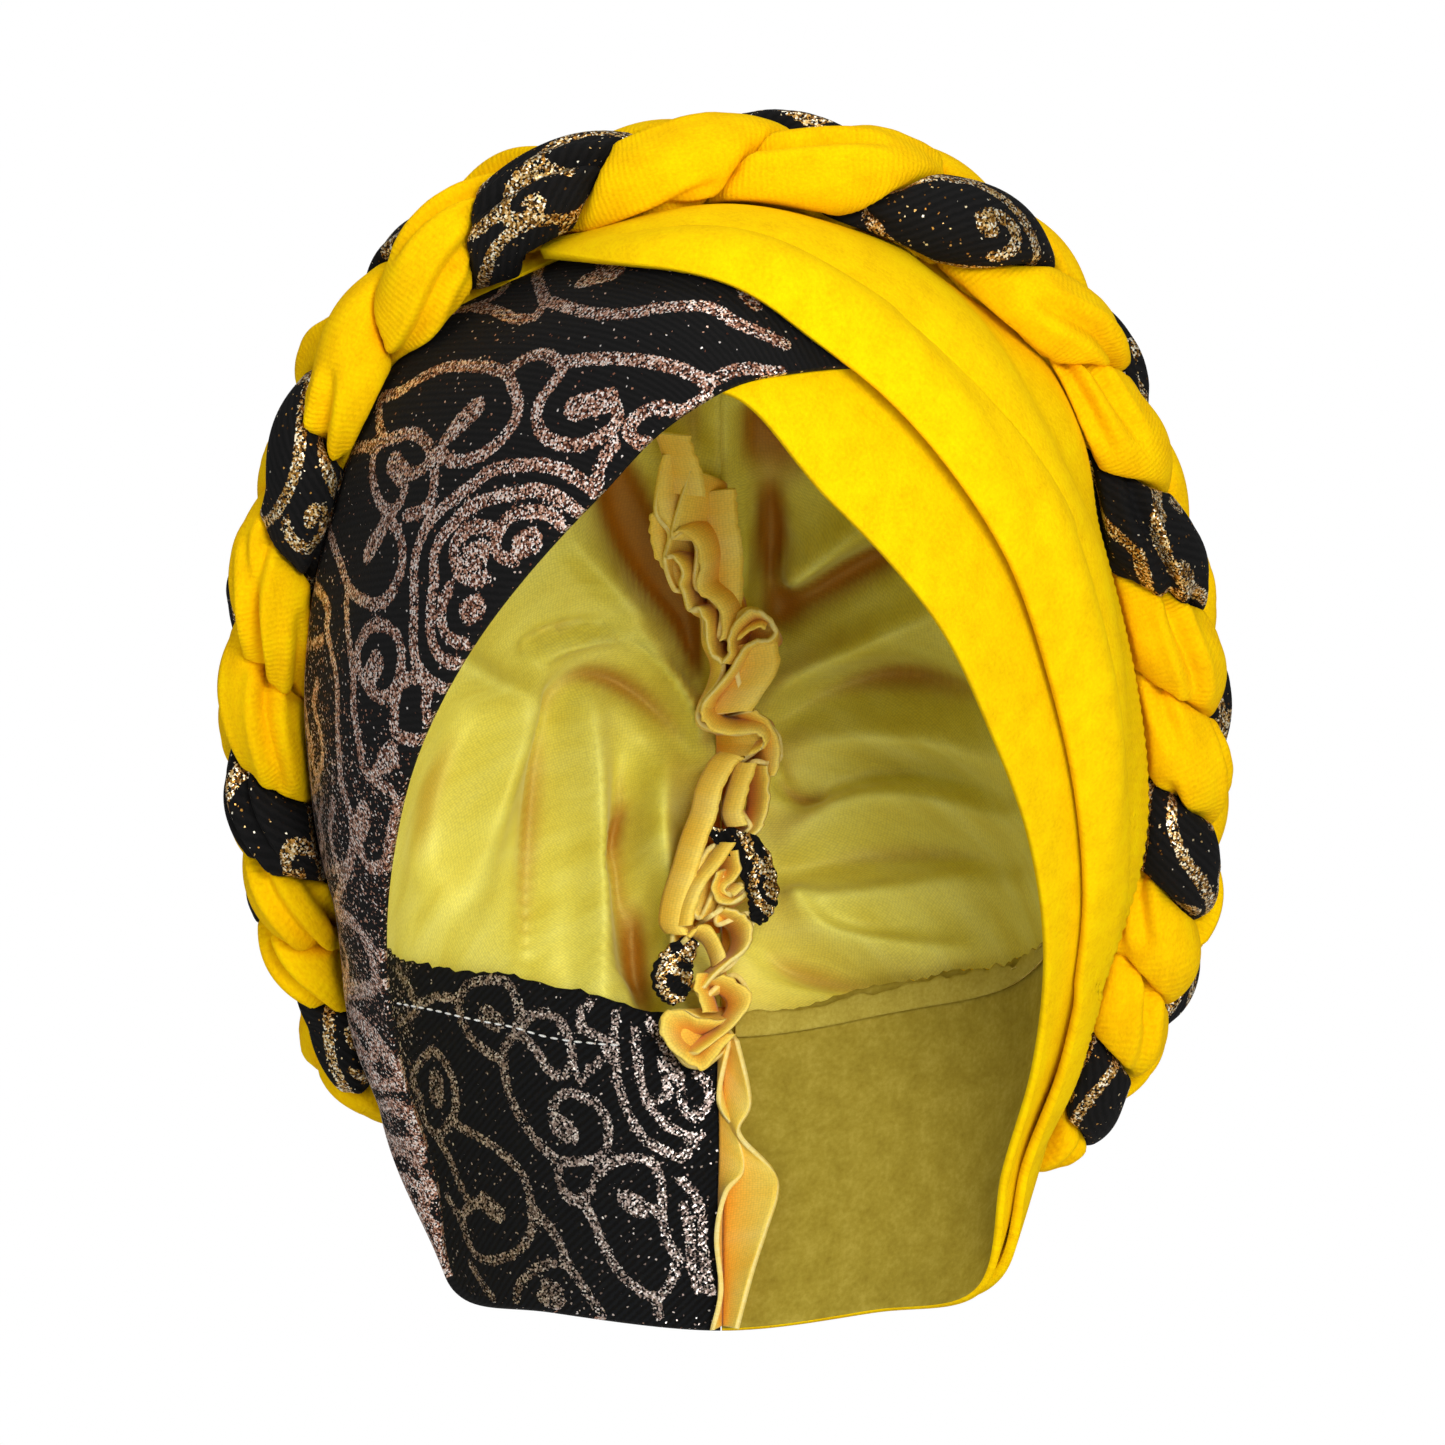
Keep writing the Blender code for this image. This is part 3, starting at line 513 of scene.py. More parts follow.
lurexBandCloth = {"wall": bandCloth, "cells": (440, 84), "fray": 0.012, "flare": 6.0, "roll": 4.5}
lurexBandRows = [
    (19.996, 0.00, 0.99, 0.0), (18.6, 0.00, 1.00, 0.0), (17.7, 0.00, 0.95, 0.0), (17.0, 0.00, 0.89, 0.0),
    (16.3, 0.00, 0.94, 0.0), (15.0, 0.00, 1.04, 0.0), (13.6, 0.00, 1.09, 0.0), (12.2, 0.00, 1.10, 0.0),
    (11.2, 0.00, 1.12, 0.2), (10.6, 0.00, 1.04, 1.4), (10.1, 0.00, 0.92, 2.5), (9.7, 0.10, 0.84, 2.6),
    (9.3, 0.28, 0.76, 2.6), (8.8, 0.52, 0.74, 2.6),
]
yellowBandCloth = {"wall": bandCloth, "cells": (360, 70), "fray": 0.009}
yellowBandRows = [
    (0.004, 0.00, 1.00, 0.0), (1.5, 0.00, 1.00, 0.0), (3.0, 0.00, 0.95, 0.0), (5.0, 0.00, 0.90, 0.0),
    (7.0, 0.00, 0.80, 0.0), (8.5, 0.00, 0.75, 0.0), (9.4, 0.00, 0.70, 0.0), (10.0, 0.04, 0.62, 0.0),
]


def torn(section, across, fray, seed):  # a torn edge, at across 1, that waves a little
    broad = ripple(section * 14.0, 0 * section, 7.0, seed)
    fine = ripple(section * 14.0, 0 * section, 1.6, seed + 1)
    return fray * (broad + 0.7 * fine) * across**6


def lurexBandSurface(along, across):
    section, place, lift = bandStrip(lurexBandRows, along, across)
    flare = ramp(section, 10.9, 12.2) * (1 - ramp(section, 15.2, 17.0)) * ramp(place, 0.5, 1.0)
    rolled = ramp(section, 15.6, 16.5) * (1 - ramp(section, 17.3, 17.9))
    roll = rolled * np.sin(math.pi * np.clip(place, 0, 1) ** 0.6)
    lift = lift + lurexBandCloth["flare"] * flare + lurexBandCloth["roll"] * roll
    return headband(section, place + torn(section, across, lurexBandCloth["fray"], 41), lift)


def yellowBandSurface(along, across):
    section, place, lift = bandStrip(yellowBandRows, along, across)
    return headband(section, place + torn(section, across, yellowBandCloth["fray"], 43), lift)


# The pattern of the lurex: curling lines of metallised yarn, here as distances to those lines

frontScrolls = [  # lines of the pattern on the outside, as seen from the front (x, z)
    [(-64.7, -24.2), (-60.7, -22.0), (-55.0, -19.8), (-48.6, -20.3), (-44.2, -22.0), (-39.6, -21.4),
     (-37.2, -18.3), (-32.6, -19.4), (-26.6, -20.7), (-20.0, -20.7), (-13.4, -19.6), (-6.8, -19.0),
     (-1.3, -19.8), (3.1, -22.7), (8.6, -24.9), (13.4, -27.3)],
    [(-55.0, -19.8), (-50.8, -18.3), (-47.5, -16.5), (-46.2, -13.9), (-44.2, -12.1), (-42.9, -9.1)],
    [(-36.3, -8.6), (-39.6, -12.1), (-38.7, -15.5), (-37.4, -18.3)],
    [(-72.6, -38.5), (-69.5, -37.7), (-65.3, -35.0), (-60.7, -32.8), (-55.2, -32.0), (-49.7, -32.4),
     (-46.2, -33.0), (-41.6, -30.2), (-37.2, -29.5), (-34.3, -31.1), (-29.9, -30.6), (-22.2, -30.2),
     (-15.6, -30.8), (-10.1, -32.0), (-5.7, -33.7), (-2.4, -35.2), (0.2, -34.1), (3.3, -32.8), (7.5, -32.6),
     (12.5, -33.7)],
    [(-2.4, -35.2), (-3.3, -38.5), (-5.7, -41.2), (-9.0, -41.6), (-12.3, -40.8), (-15.6, -41.6),
     (-17.8, -43.0), (-19.6, -45.6), (-17.2, -48.5), (-14.3, -50.0)],
    [(-23.5, -39.2), (-21.8, -41.4), (-22.2, -44.7), (-24.9, -46.7), (-28.6, -48.5), (-31.7, -49.1),
     (-36.1, -48.0), (-38.7, -45.8), (-39.4, -42.5), (-38.5, -39.2), (-36.1, -36.1), (-34.1, -33.5)],
    [(-22.4, -48.9), (-24.9, -51.8), (-26.0, -54.8), (-26.2, -58.8)],
    [(-46.2, -33.0), (-44.2, -37.2), (-43.3, -41.4), (-44.9, -45.1), (-48.0, -48.7), (-51.3, -51.1),
     (-55.2, -52.4), (-58.5, -52.4), (-60.1, -50.0), (-59.0, -47.3), (-57.2, -45.6)],
    [(-73.5, -39.2), (-73.7, -43.4), (-72.8, -47.3)],
    [(-80.1, -49.8), (-76.1, -49.3), (-72.6, -48.2), (-68.6, -46.7), (-65.1, -46.9), (-62.7, -49.5),
     (-61.6, -53.3), (-61.6, -57.2), (-62.3, -61.0), (-64.7, -63.6), (-67.8, -64.3)],
    [(-73.5, -48.2), (-75.0, -52.2), (-75.0, -56.1), (-74.1, -60.1), (-72.2, -63.0), (-70.0, -62.8),
     (-68.2, -59.9), (-68.0, -56.6), (-68.9, -54.8)],
    [(-68.2, -55.7), (-64.9, -54.8), (-62.5, -52.8)],
    [(-80.1, -49.8), (-81.8, -53.3), (-82.7, -58.3), (-84.0, -63.2), (-84.3, -67.6), (-83.2, -71.5),
     (-81.8, -75.3), (-80.5, -79.2), (-78.1, -82.1), (-74.1, -83.6), (-71.3, -81.7), (-69.3, -77.7),
     (-68.4, -73.8), (-68.9, -69.3), (-70.8, -65.8)],
    [(-26.2, -59.2), (-30.1, -56.4), (-33.7, -54.4), (-38.1, -53.3), (-44.7, -53.5), (-49.7, -54.8),
     (-53.2, -57.5), (-57.6, -60.8), (-61.6, -64.5), (-64.2, -68.5), (-65.6, -72.9), (-66.0, -78.1),
     (-66.0, -84.7), (-66.2, -92.5), (-65.3, -96.6), (-62.7, -99.7)],
    [(-30.6, -63.4), (-32.6, -61.6), (-36.1, -59.5), (-39.6, -58.6), (-44.7, -59.5), (-50.2, -60.8),
     (-54.6, -63.0), (-57.9, -66.3), (-60.5, -69.6), (-61.8, -73.8), (-61.6, -78.1), (-62.3, -83.0),
     (-62.7, -87.4), (-62.0, -92.0), (-59.6, -95.5), (-56.1, -96.6)],
    [(-33.9, -66.3), (-35.6, -64.5), (-38.7, -63.4), (-43.1, -63.6), (-46.2, -65.2), (-47.7, -67.6),
     (-51.3, -66.3), (-54.6, -67.4), (-57.0, -69.8), (-57.4, -73.3), (-56.1, -76.8), (-53.5, -78.1),
     (-50.4, -77.7)],
    [(-47.7, -67.6), (-48.6, -70.7), (-46.9, -73.3), (-44.2, -73.8)],
    [(-58.3, -79.9), (-59.8, -83.2), (-60.1, -87.4), (-58.5, -90.7), (-54.8, -92.0)],
    [(-87.8, -69.3), (-88.2, -74.8), (-88.0, -78.8), (-88.9, -83.0), (-90.0, -87.0), (-89.8, -91.4)],
    [(-88.0, -78.8), (-85.8, -81.9), (-84.5, -85.2), (-85.1, -88.3), (-84.3, -92.5), (-83.2, -97.5),
     (-82.7, -102.4), (-82.7, -110.0), (-82.3, -116.6), (-81.8, -123.2), (-80.3, -127.9), (-79.4, -132.7),
     (-79.9, -138.6), (-81.6, -144.1), (-83.4, -149.6)],
    [(-80.7, -82.5), (-80.5, -88.0), (-79.9, -93.5), (-79.2, -99.7), (-79.2, -105.6), (-78.1, -113.4),
     (-76.8, -119.5), (-74.1, -122.1), (-71.3, -123.9)],
    [(-75.9, -88.7), (-78.1, -92.5), (-78.1, -96.9), (-76.3, -101.2), (-73.7, -103.7), (-70.6, -102.4),
     (-68.9, -97.5), (-69.1, -91.8), (-71.3, -88.7), (-74.1, -88.0), (-75.9, -88.7)],
    [(-69.7, -102.4), (-70.4, -107.2), (-70.2, -111.6), (-67.1, -112.7), (-63.4, -113.4)],
    [(-69.5, -101.0), (-66.7, -99.3), (-62.7, -100.1), (-59.4, -101.9)],
    [(-62.9, -102.4), (-63.6, -105.9), (-61.8, -109.6)],
    [(-75.0, -121.0), (-73.3, -118.2), (-71.5, -116.0)],
    [(-71.3, -123.9), (-69.1, -127.9), (-69.5, -132.3), (-70.6, -136.7), (-72.8, -140.2), (-75.9, -140.6),
     (-77.9, -136.7), (-78.3, -131.4), (-76.8, -127.4)],
    [(-90.0, -91.4), (-91.3, -94.6), (-92.0, -99.0)],
    [(-87.1, -100.6), (-87.8, -105.6), (-86.5, -111.1), (-85.8, -116.6), (-86.9, -121.0), (-87.6, -126.5),
     (-86.0, -133.1), (-85.1, -139.8), (-86.5, -145.2)],
    [(-89.8, -104.5), (-89.1, -111.1), (-88.7, -118.9), (-88.0, -125.5)],
    [(-83.6, -126.5), (-84.3, -133.1), (-83.2, -139.3), (-81.6, -144.1)],
    [(-88.0, -154.1), (-85.1, -152.1), (-82.1, -150.8), (-79.0, -152.9), (-75.9, -157.4), (-73.3, -160.6)],
    [(-86.5, -159.6), (-83.8, -156.2), (-81.2, -158.4), (-80.5, -165.1), (-82.7, -168.4)],
    [(-82.7, -167.9), (-79.0, -166.6), (-75.0, -167.0), (-72.8, -166.1)],
    [(-85.1, -162.9), (-83.6, -168.4), (-81.2, -173.9), (-78.1, -179.4), (-75.7, -185.5)],
    [(-79.4, -172.8), (-76.3, -175.4), (-73.9, -180.4), (-70.6, -184.2)],
    [(-76.8, -187.3), (-73.9, -188.6), (-70.6, -188.1), (-68.0, -188.6)],
    [(-74.1, -194.8), (-71.5, -192.1), (-68.4, -193.4), (-66.0, -195.2)],
    [(-74.1, -194.8), (-72.4, -198.7), (-69.7, -200.9), (-66.2, -200.5), (-64.0, -201.4)],
    [(-71.5, -203.6), (-68.9, -202.7), (-66.7, -204.9), (-64.5, -207.9), (-62.7, -212.4)],
    [(-69.7, -209.1), (-67.5, -211.5), (-66.2, -215.7), (-63.1, -218.1), (-61.2, -221.2)],
    [(-66.7, -217.9), (-64.5, -221.6), (-61.8, -224.7), (-59.2, -225.6)],
    [(-64.0, -223.4), (-62.3, -226.9), (-59.6, -229.5), (-57.0, -231.3)],
    [(-88.7, -151.9), (-86.0, -154.1), (-83.8, -156.2), (-82.7, -159.6), (-81.6, -162.9), (-79.9, -167.2),
     (-81.2, -170.6), (-82.7, -172.8)],
    [(-82.7, -151.2), (-80.5, -152.5), (-78.3, -154.1), (-76.8, -157.4), (-75.5, -160.6), (-74.6, -163.9),
     (-75.0, -167.2), (-77.7, -168.8), (-81.2, -168.8)],
    [(-86.0, -162.9), (-84.5, -167.2), (-82.7, -171.6), (-81.2, -176.1), (-79.9, -180.4), (-78.1, -183.8)],
    [(-79.9, -172.8), (-78.1, -174.9), (-76.1, -178.2), (-74.6, -181.1), (-75.5, -182.9), (-78.1, -181.6)],
    [(-74.6, -177.1), (-72.4, -180.4), (-70.6, -183.8), (-69.5, -187.1), (-71.1, -188.6), (-73.9, -187.1),
     (-76.1, -184.2)],
    [(-82.7, -183.3), (-80.3, -185.5), (-78.1, -187.7), (-75.5, -190.4)],
    [(-75.0, -192.6), (-72.4, -193.0), (-69.5, -194.3), (-67.3, -195.9), (-66.7, -198.1)],
    [(-73.3, -200.2), (-71.5, -201.8), (-68.9, -200.9), (-66.2, -202.4), (-65.1, -204.6)],
    [(-70.2, -210.2), (-68.0, -209.1), (-65.1, -211.2), (-64.0, -214.6), (-65.1, -217.9), (-64.0, -220.1)],
    [(-68.9, -215.7), (-67.3, -218.5), (-65.1, -221.2)],
    [(-61.8, -220.1), (-60.3, -223.4), (-61.4, -226.7), (-63.6, -228.2), (-64.5, -231.1)],
    [(-92.0, -91.4), (-88.7, -92.5), (-86.0, -91.4)],
    [(-92.0, -94.6), (-90.9, -100.1), (-91.3, -104.5), (-90.0, -109.4), (-88.2, -114.5), (-88.2, -118.2),
     (-86.9, -121.7), (-86.0, -126.5), (-86.7, -131.4), (-86.0, -135.8), (-87.3, -140.2)],
    [(-88.2, -140.2), (-83.8, -141.5), (-79.9, -140.2)],
]

frontDrops = [  # the thick ends of those lines
    [(-28.8, -13.5), (-22.7, -12.1)],
    [(-31.0, -41.0), (-24.0, -39.2)],
    [(-57.2, -45.6), (-52.6, -41.2)],
    [(-70.6, -52.8), (-68.4, -55.5)],
    [(-75.9, -72.2), (-72.8, -67.1)],
    [(-53.7, -73.3), (-51.7, -72.2)],
    [(-42.5, -70.5), (-40.3, -69.6)],
    [(-54.3, -85.0), (-52.6, -84.1)],
    [(-75.5, -98.8), (-74.1, -96.2)],
    [(-72.4, -117.7), (-71.1, -116.0)],
    [(-77.9, -132.3), (-77.0, -129.2)],
]

napeScrolls = [  # lines of the pattern that show through on the wrong side at the nape
    [(-63.4, -181.3), (-66.7, -184.6), (-67.8, -188.1), (-66.2, -192.1), (-65.3, -196.9), (-62.3, -200.5),
     (-59.8, -197.4), (-58.3, -194.1), (-58.7, -189.2), (-60.3, -184.9), (-63.4, -181.3)],
    [(-58.5, -197.8), (-54.3, -200.2), (-49.3, -203.3), (-45.1, -207.1), (-42.7, -211.2), (-41.8, -215.7),
     (-41.4, -219.8), (-42.9, -223.8), (-46.0, -226.7), (-50.6, -227.8), (-53.7, -226.9), (-55.9, -222.9),
     (-56.8, -218.3), (-55.2, -215.9), (-52.1, -215.0)],
    [(-62.3, -200.9), (-60.1, -204.6), (-58.5, -208.4), (-56.8, -212.4), (-55.2, -215.9)],
    [(-60.1, -213.9), (-58.3, -217.2), (-56.5, -220.7)],
    [(-41.8, -216.1), (-38.3, -219.8), (-35.4, -224.2), (-33.4, -229.1), (-30.8, -233.2), (-27.9, -237.2),
     (-26.2, -240.1)],
    [(-35.9, -228.4), (-40.7, -229.5), (-44.2, -233.0), (-45.1, -236.6)],
    [(-55.0, -228.6), (-52.6, -232.8), (-50.2, -236.1)],
    [(-57.9, -170.3), (-57.2, -174.9), (-54.6, -179.4), (-50.8, -182.4), (-48.0, -184.2), (-47.5, -187.5),
     (-46.2, -192.3), (-43.8, -197.2), (-40.3, -201.8), (-36.1, -205.8), (-31.0, -206.0), (-26.8, -205.1),
     (-24.9, -200.9), (-25.3, -196.7), (-27.9, -193.0), (-32.3, -191.0), (-35.4, -191.7), (-37.2, -194.8),
     (-35.9, -197.8)],
    [(-57.4, -170.3), (-56.1, -167.5), (-51.9, -166.1), (-47.5, -166.4), (-45.5, -169.2), (-44.4, -173.0),
     (-45.1, -177.1), (-47.5, -180.7), (-48.0, -184.2)],
    [(-71.3, -163.9), (-68.9, -167.2), (-66.9, -171.2), (-62.3, -169.9), (-57.9, -170.3)],
    [(-70.6, -175.4), (-67.1, -173.4), (-66.9, -171.2)],
    [(-44.4, -177.8), (-40.9, -181.3), (-38.3, -185.5), (-35.4, -187.5), (-32.6, -184.4), (-33.4, -179.6),
     (-35.0, -175.8), (-38.3, -173.4), (-42.2, -174.3), (-44.4, -177.8)],
    [(-31.0, -188.1), (-27.3, -184.4), (-25.1, -181.3), (-26.8, -178.7), (-30.4, -176.9), (-31.0, -173.4),
     (-28.4, -170.6)],
    [(-23.1, -173.6), (-23.8, -178.2), (-23.1, -183.3), (-22.4, -189.9), (-20.5, -195.4), (-17.4, -200.7),
     (-13.4, -203.3), (-9.0, -205.3), (-6.8, -203.3), (-4.6, -200.0)],
    [(-18.7, -177.1), (-18.3, -183.8), (-17.4, -189.9), (-15.2, -194.8), (-11.4, -198.5), (-7.7, -200.2)],
    [(-15.8, -175.4), (-13.2, -179.6), (-10.3, -184.4), (-9.0, -189.2), (-8.1, -194.3), (-5.7, -196.7),
     (-3.5, -194.3), (-2.4, -191.7), (-3.5, -188.1), (-5.5, -187.3)],
    [(-35.9, -207.7), (-34.8, -212.4), (-32.1, -215.0), (-28.8, -212.6), (-26.8, -208.8), (-23.8, -206.4),
     (-20.0, -205.3), (-15.8, -205.8), (-13.9, -208.8), (-12.8, -213.9), (-12.8, -219.8), (-11.4, -224.2),
     (-8.8, -228.6)],
    [(-28.8, -212.6), (-29.9, -215.2), (-27.9, -219.4), (-26.0, -224.2), (-23.1, -229.5), (-18.7, -233.9),
     (-14.1, -236.1), (-10.8, -232.2), (-9.9, -228.6)],
    [(-14.1, -236.3), (-13.6, -240.1)],
    [(-8.8, -210.2), (-5.9, -213.2), (-4.2, -218.1), (-4.0, -223.8), (-3.3, -229.7), (-2.2, -234.8)],
    [(-8.1, -215.7), (-7.0, -222.2), (-6.4, -228.4), (-5.1, -234.4)],
    [(-17.8, -216.3), (-15.2, -216.8), (-12.8, -216.1)],
    [(-38.7, -232.6), (-35.4, -234.4)],
    [(-13.2, -183.8), (-11.7, -189.2), (-13.0, -192.6)],
]

napeDrops = [  # the thick ends of those lines
    [(-62.7, -188.1), (-62.5, -192.1)],
    [(-52.1, -215.0), (-49.3, -217.4)],
    [(-35.9, -197.8), (-33.2, -200.2)],
    [(-20.5, -214.6), (-17.8, -216.5)],
    [(-51.5, -173.9), (-49.7, -175.4)],
    [(-38.7, -235.7), (-36.3, -236.3)],
]
scrolls = {
    "spacing": 0.6, "dropExtra": 1.3, "farthest": 8.0, "curlStep": (31.0, 27.0), "curlRadius": 11.0,
    "curlTurns": 1.6,
    "curlClear": 5.0, "napeCorner": 18.0,
}


def fineLine(points):  # the same line with a point every scrolls["spacing"] or so
    points = np.asarray(points, float)
    length = np.linalg.norm(np.diff(points, axis=0), axis=1).sum()
    return curve(points, np.linspace(0, len(points) - 1, max(int(length / scrolls["spacing"]), 4)))


def seenFrom(surface, chosen, side):  # points of a surface on the camera's side, and where it sees them
    along, across = np.meshgrid(np.linspace(0, 1, 700), np.linspace(0, 1, 120), indexing="ij")
    net = surface(along.ravel(), across.ravel()).reshape(700, 120, 3)
    facing = np.cross(np.gradient(net, axis=0), np.gradient(net, axis=1))
    facing *= np.sign(np.sum(facing * (net - headMiddle)))
    toCamera = np.array([0.0, -cameraDistance, cameraHeight]) - net
    kept = (chosen(along) > 0) & (side * np.sum(facing * toCamera, axis=2) > 0)
    places = net[kept]
    tree = KDTree(len(places))
    for index, (u, v) in enumerate(zip(*pictureOf(places))):
        tree.insert((u, v, 0.0), index)
    tree.balance()
    return tree, places


def laidOnCloth(lines, seen):  # carries lines from the picture onto the cloth
    tree, places = seen
    laidLines = []
    for line in lines:
        points = []
        for u, v in fineLine(line):
            near = tree.find_n((u, v, 0.0), 5)
            weights = np.array([1 / (distance + 0.05) for spot, index, distance in near])
            points.append(weights @ places[[index for spot, index, distance in near]] / weights.sum())
        points = np.array(points)
        for _ in range(2):
            points[1:-1] = (points[:-2] + 2 * points[1:-1] + points[2:]) / 4
        laidLines.append(points)
    return laidLines


def treeOf(lines):
    points = np.vstack(lines)
    tree = KDTree(len(points))
    for index, point in enumerate(points):
        tree.insert(point, index)
    tree.balance()
    return tree


def curlLine(middle, way, size, turns):  # a spiral, in the cloth's own millimetres
    turn = np.linspace(0.0, 1.0, 40)
    angle = way * 2 * math.pi * turns * turn + middle[0]
    reach = size * turn**0.8
    return np.column_stack([middle[0] + reach * np.cos(angle), middle[1] + reach * np.sin(angle)])


def bandScroll(surface, lines, drops):
    lineTree = treeOf(lines)
    spread = clothPlaces(surface, np.array([[0.0, 0.5], [1.0, 0.5], [0.5, 0.0], [0.5, 1.0]]))
    length, width = spread[1, 0], spread[3, 1] - spread[2, 1]
    extra = []
    stepAlong, stepAcross = scrolls["curlStep"]
    for row, across in enumerate(np.arange(8.0, width, stepAcross)):
        for place, along in enumerate(np.arange(8.0 + row % 2 * stepAlong / 2, length, stepAlong)):
            way = 1 if (row + place) % 2 else -1
            curl = curlLine((along, across), way, scrolls["curlRadius"], scrolls["curlTurns"])
            flat = curl / (length, width)
            flat = flat[((flat > 0) & (flat < 1)).all(axis=1)]
            points = surface(flat[:, 0], flat[:, 1])
            clear = np.array([lineTree.find(point)[2] > scrolls["curlClear"] for point in points])
            if len(points) and clear.mean() > 0.7:
                extra.append(points[clear])
    lineTree = treeOf(lines + extra)
    dropTree = treeOf(drops)

    def level(flat, places):
        points = surface(flat[:, 0], flat[:, 1])
        fromLines = np.array([lineTree.find(point)[2] for point in points])
        fromDrops = np.array([dropTree.find(point)[2] for point in points]) - scrolls["dropExtra"]
        return np.minimum(np.minimum(fromLines, fromDrops), scrolls["farthest"])
    return level


def ringScroll(length, width, seed):  # part of the same pattern on a small piece: outlines of curls
    draw = np.random.default_rng(seed)
    middles = [(along + draw.uniform(-4, 4), draw.uniform(0, width), draw.uniform(5.0, 9.0))
               for along in np.arange(0.0, length + 10, 10.5)]

    def level(flat, places):
        nearest = np.full(len(places), scrolls["farthest"])
        for x, y, radius in middles:
            away = np.hypot(places[:, 0] - x, places[:, 1] - y)
            nearest = np.minimum(nearest, np.minimum(np.abs(away - radius), away - radius * 0.25))
        return np.maximum(nearest, 0.0)
    return level


strandPattern = {"lines": 4, "swing": 5.0, "wave": 46.0, "curlEvery": 34.0, "curlRadius": (5.5, 8.5),
                 "curlTurns": 0.9, "seed": 12}


def strandScroll(length, girth):  # the same pattern on a rolled strip: waving lines, and curls between them
    draw = np.random.default_rng(strandPattern["seed"])
    lines = []
    along = np.arange(-5.0, length + 5.0, scrolls["spacing"])
    for number in range(strandPattern["lines"]):
        wave, phase = strandPattern["wave"] * draw.uniform(0.8, 1.25), draw.uniform(0, 2 * math.pi)
        swing = strandPattern["swing"] * np.sin(2 * math.pi * along / wave + phase)
        lines.append(np.column_stack([along, (number + 0.5) * girth / strandPattern["lines"] + swing]))
    curlStep = strandPattern["curlEvery"] / strandPattern["lines"]
    for number, middle in enumerate(np.arange(0.0, length, curlStep)):
        across = (number % strandPattern["lines"]) * girth / strandPattern["lines"] + draw.uniform(-2, 2)
        size = draw.uniform(*strandPattern["curlRadius"])
        lines.append(curlLine((middle, across), 1 if number % 2 else -1, size, strandPattern["curlTurns"]))
    flat = np.vstack([line + (0.0, shift) for line in lines for shift in (-girth, 0.0, girth)])
    tree = treeOf([np.column_stack([flat, 0 * flat[:, 0]])])

    def level(flat, places):
        return np.minimum([tree.find((x, y, 0.0))[2] for x, y in places], scrolls["farthest"])
    return level


def tautStrip(flat, places):  # 1 on the narrow strip before the left ear, where the knit is pulled long
    section, place, lift = bandStrip(lurexBandRows, flat[:, 0], flat[:, 1])
    return ramp(section, 12.8, 14.4) * (1 - ramp(section, 17.7, 17.95))


def lurexSection(along):
    return bandStrip(lurexBandRows, along, 0.5 + 0 * along)[0]


bandFront = seenFrom(lurexBandSurface, lambda along: scrolls["napeCorner"] + 0.4 - lurexSection(along), 1)
bandNape = seenFrom(lurexBandSurface, lambda along: lurexSection(along) - scrolls["napeCorner"] + 0.8, -1)


def scrollsOfBand():
    lines = laidOnCloth(frontScrolls, bandFront) + laidOnCloth(napeScrolls, bandNape)
    drops = laidOnCloth(frontDrops, bandFront) + laidOnCloth(napeDrops, bandNape)
    return bandScroll(lurexBandSurface, lines, drops)


bandLurex = makeSheet("bandLurex", [lurexBandSurface], [lurexBandCloth["cells"]], lurexBandCloth["wall"],
                      (lurexOuter, lurexInner, lurexOuter),
                      levels=[("scroll", [scrollsOfBand()]), ("taut", [tautStrip])])
bandYellow = makeSheet("bandYellow", [yellowBandSurface], [yellowBandCloth["cells"]], yellowBandCloth["wall"],
                       (yellowOuter, yellowFleece, yellowOuter))

napeStitches = {
    "line": [(-71.5, -171.4), (-63.4, -173.0), (-53.9, -175.2), (-46.0, -176.7), (-37.8, -179.1),
             (-29.0, -180.2),
             (-19.6, -180.9)],  # x, z as seen from the front
    "spacing": 3.0, "length": 2.1, "thick": 0.55, "proud": 0.35,
}


def makeStitches():
    points = laidOnCloth([napeStitches["line"]], bandNape)[0]
    runs = np.concatenate([[0], np.cumsum(np.linalg.norm(np.diff(points, axis=0), axis=1))])
    shape = bmesh.new()
    for run in np.arange(0.0, runs[-1] - napeStitches["spacing"], napeStitches["spacing"]):
        start, end = [np.array([np.interp(at, runs, points[:, axis]) for axis in range(3)])
                      for at in (run, run + napeStitches["length"])]
        middle = (start + end) / 2
        middle = middle + unit(headMiddle - middle) * napeStitches["proud"]
        turned = Vector(end - start).to_track_quat("X", "Z").to_matrix().to_4x4()
        size = Matrix.Diagonal((napeStitches["length"] * mm, napeStitches["thick"] * mm,
                                napeStitches["thick"] * mm, 1))
        bmesh.ops.create_uvsphere(shape, u_segments=10, v_segments=7, radius=0.5,
                                  matrix=Matrix.Translation(middle * mm) @ turned @ size)
    made = makeObject("napeStitches", shape)
    made.data.materials.append(whiteThread)
    made.data.shade_smooth()
    return made


stitches = makeStitches()

turnedEdge = {"wall": 0.9, "cells": (200, 12), "lift": -1.4, "fray": 0.012}
turnedEdgeRows = [  # section, lower edge, torn edge, lift
    (0.08, 0.925, 0.995, 0.0), (0.8, 0.91, 0.985, 0.0), (1.6, 0.905, 0.975, 0.0), (2.4, 0.90, 0.955, 0.0),
    (3.2, 0.885, 0.94, 0.0), (3.9, 0.87, 0.92, 0.0),
]


def turnedEdgeSurface(along, across):  # the fleece's allowance, folded down and stitched
    section, place, lift = bandStrip(turnedEdgeRows, along, across)
    place = place + torn(section, across, turnedEdge["fray"], 47)
    return headband(section, place, turnedEdge["lift"] - 0.5 * np.sin(math.pi * across) - 0.5 * across + lift)


bandTurnedEdge = makeSheet("bandTurnedEdge", [turnedEdgeSurface], [turnedEdge["cells"]], turnedEdge["wall"],
                           (yellowAllowance, yellowAllowance, rawYellow))

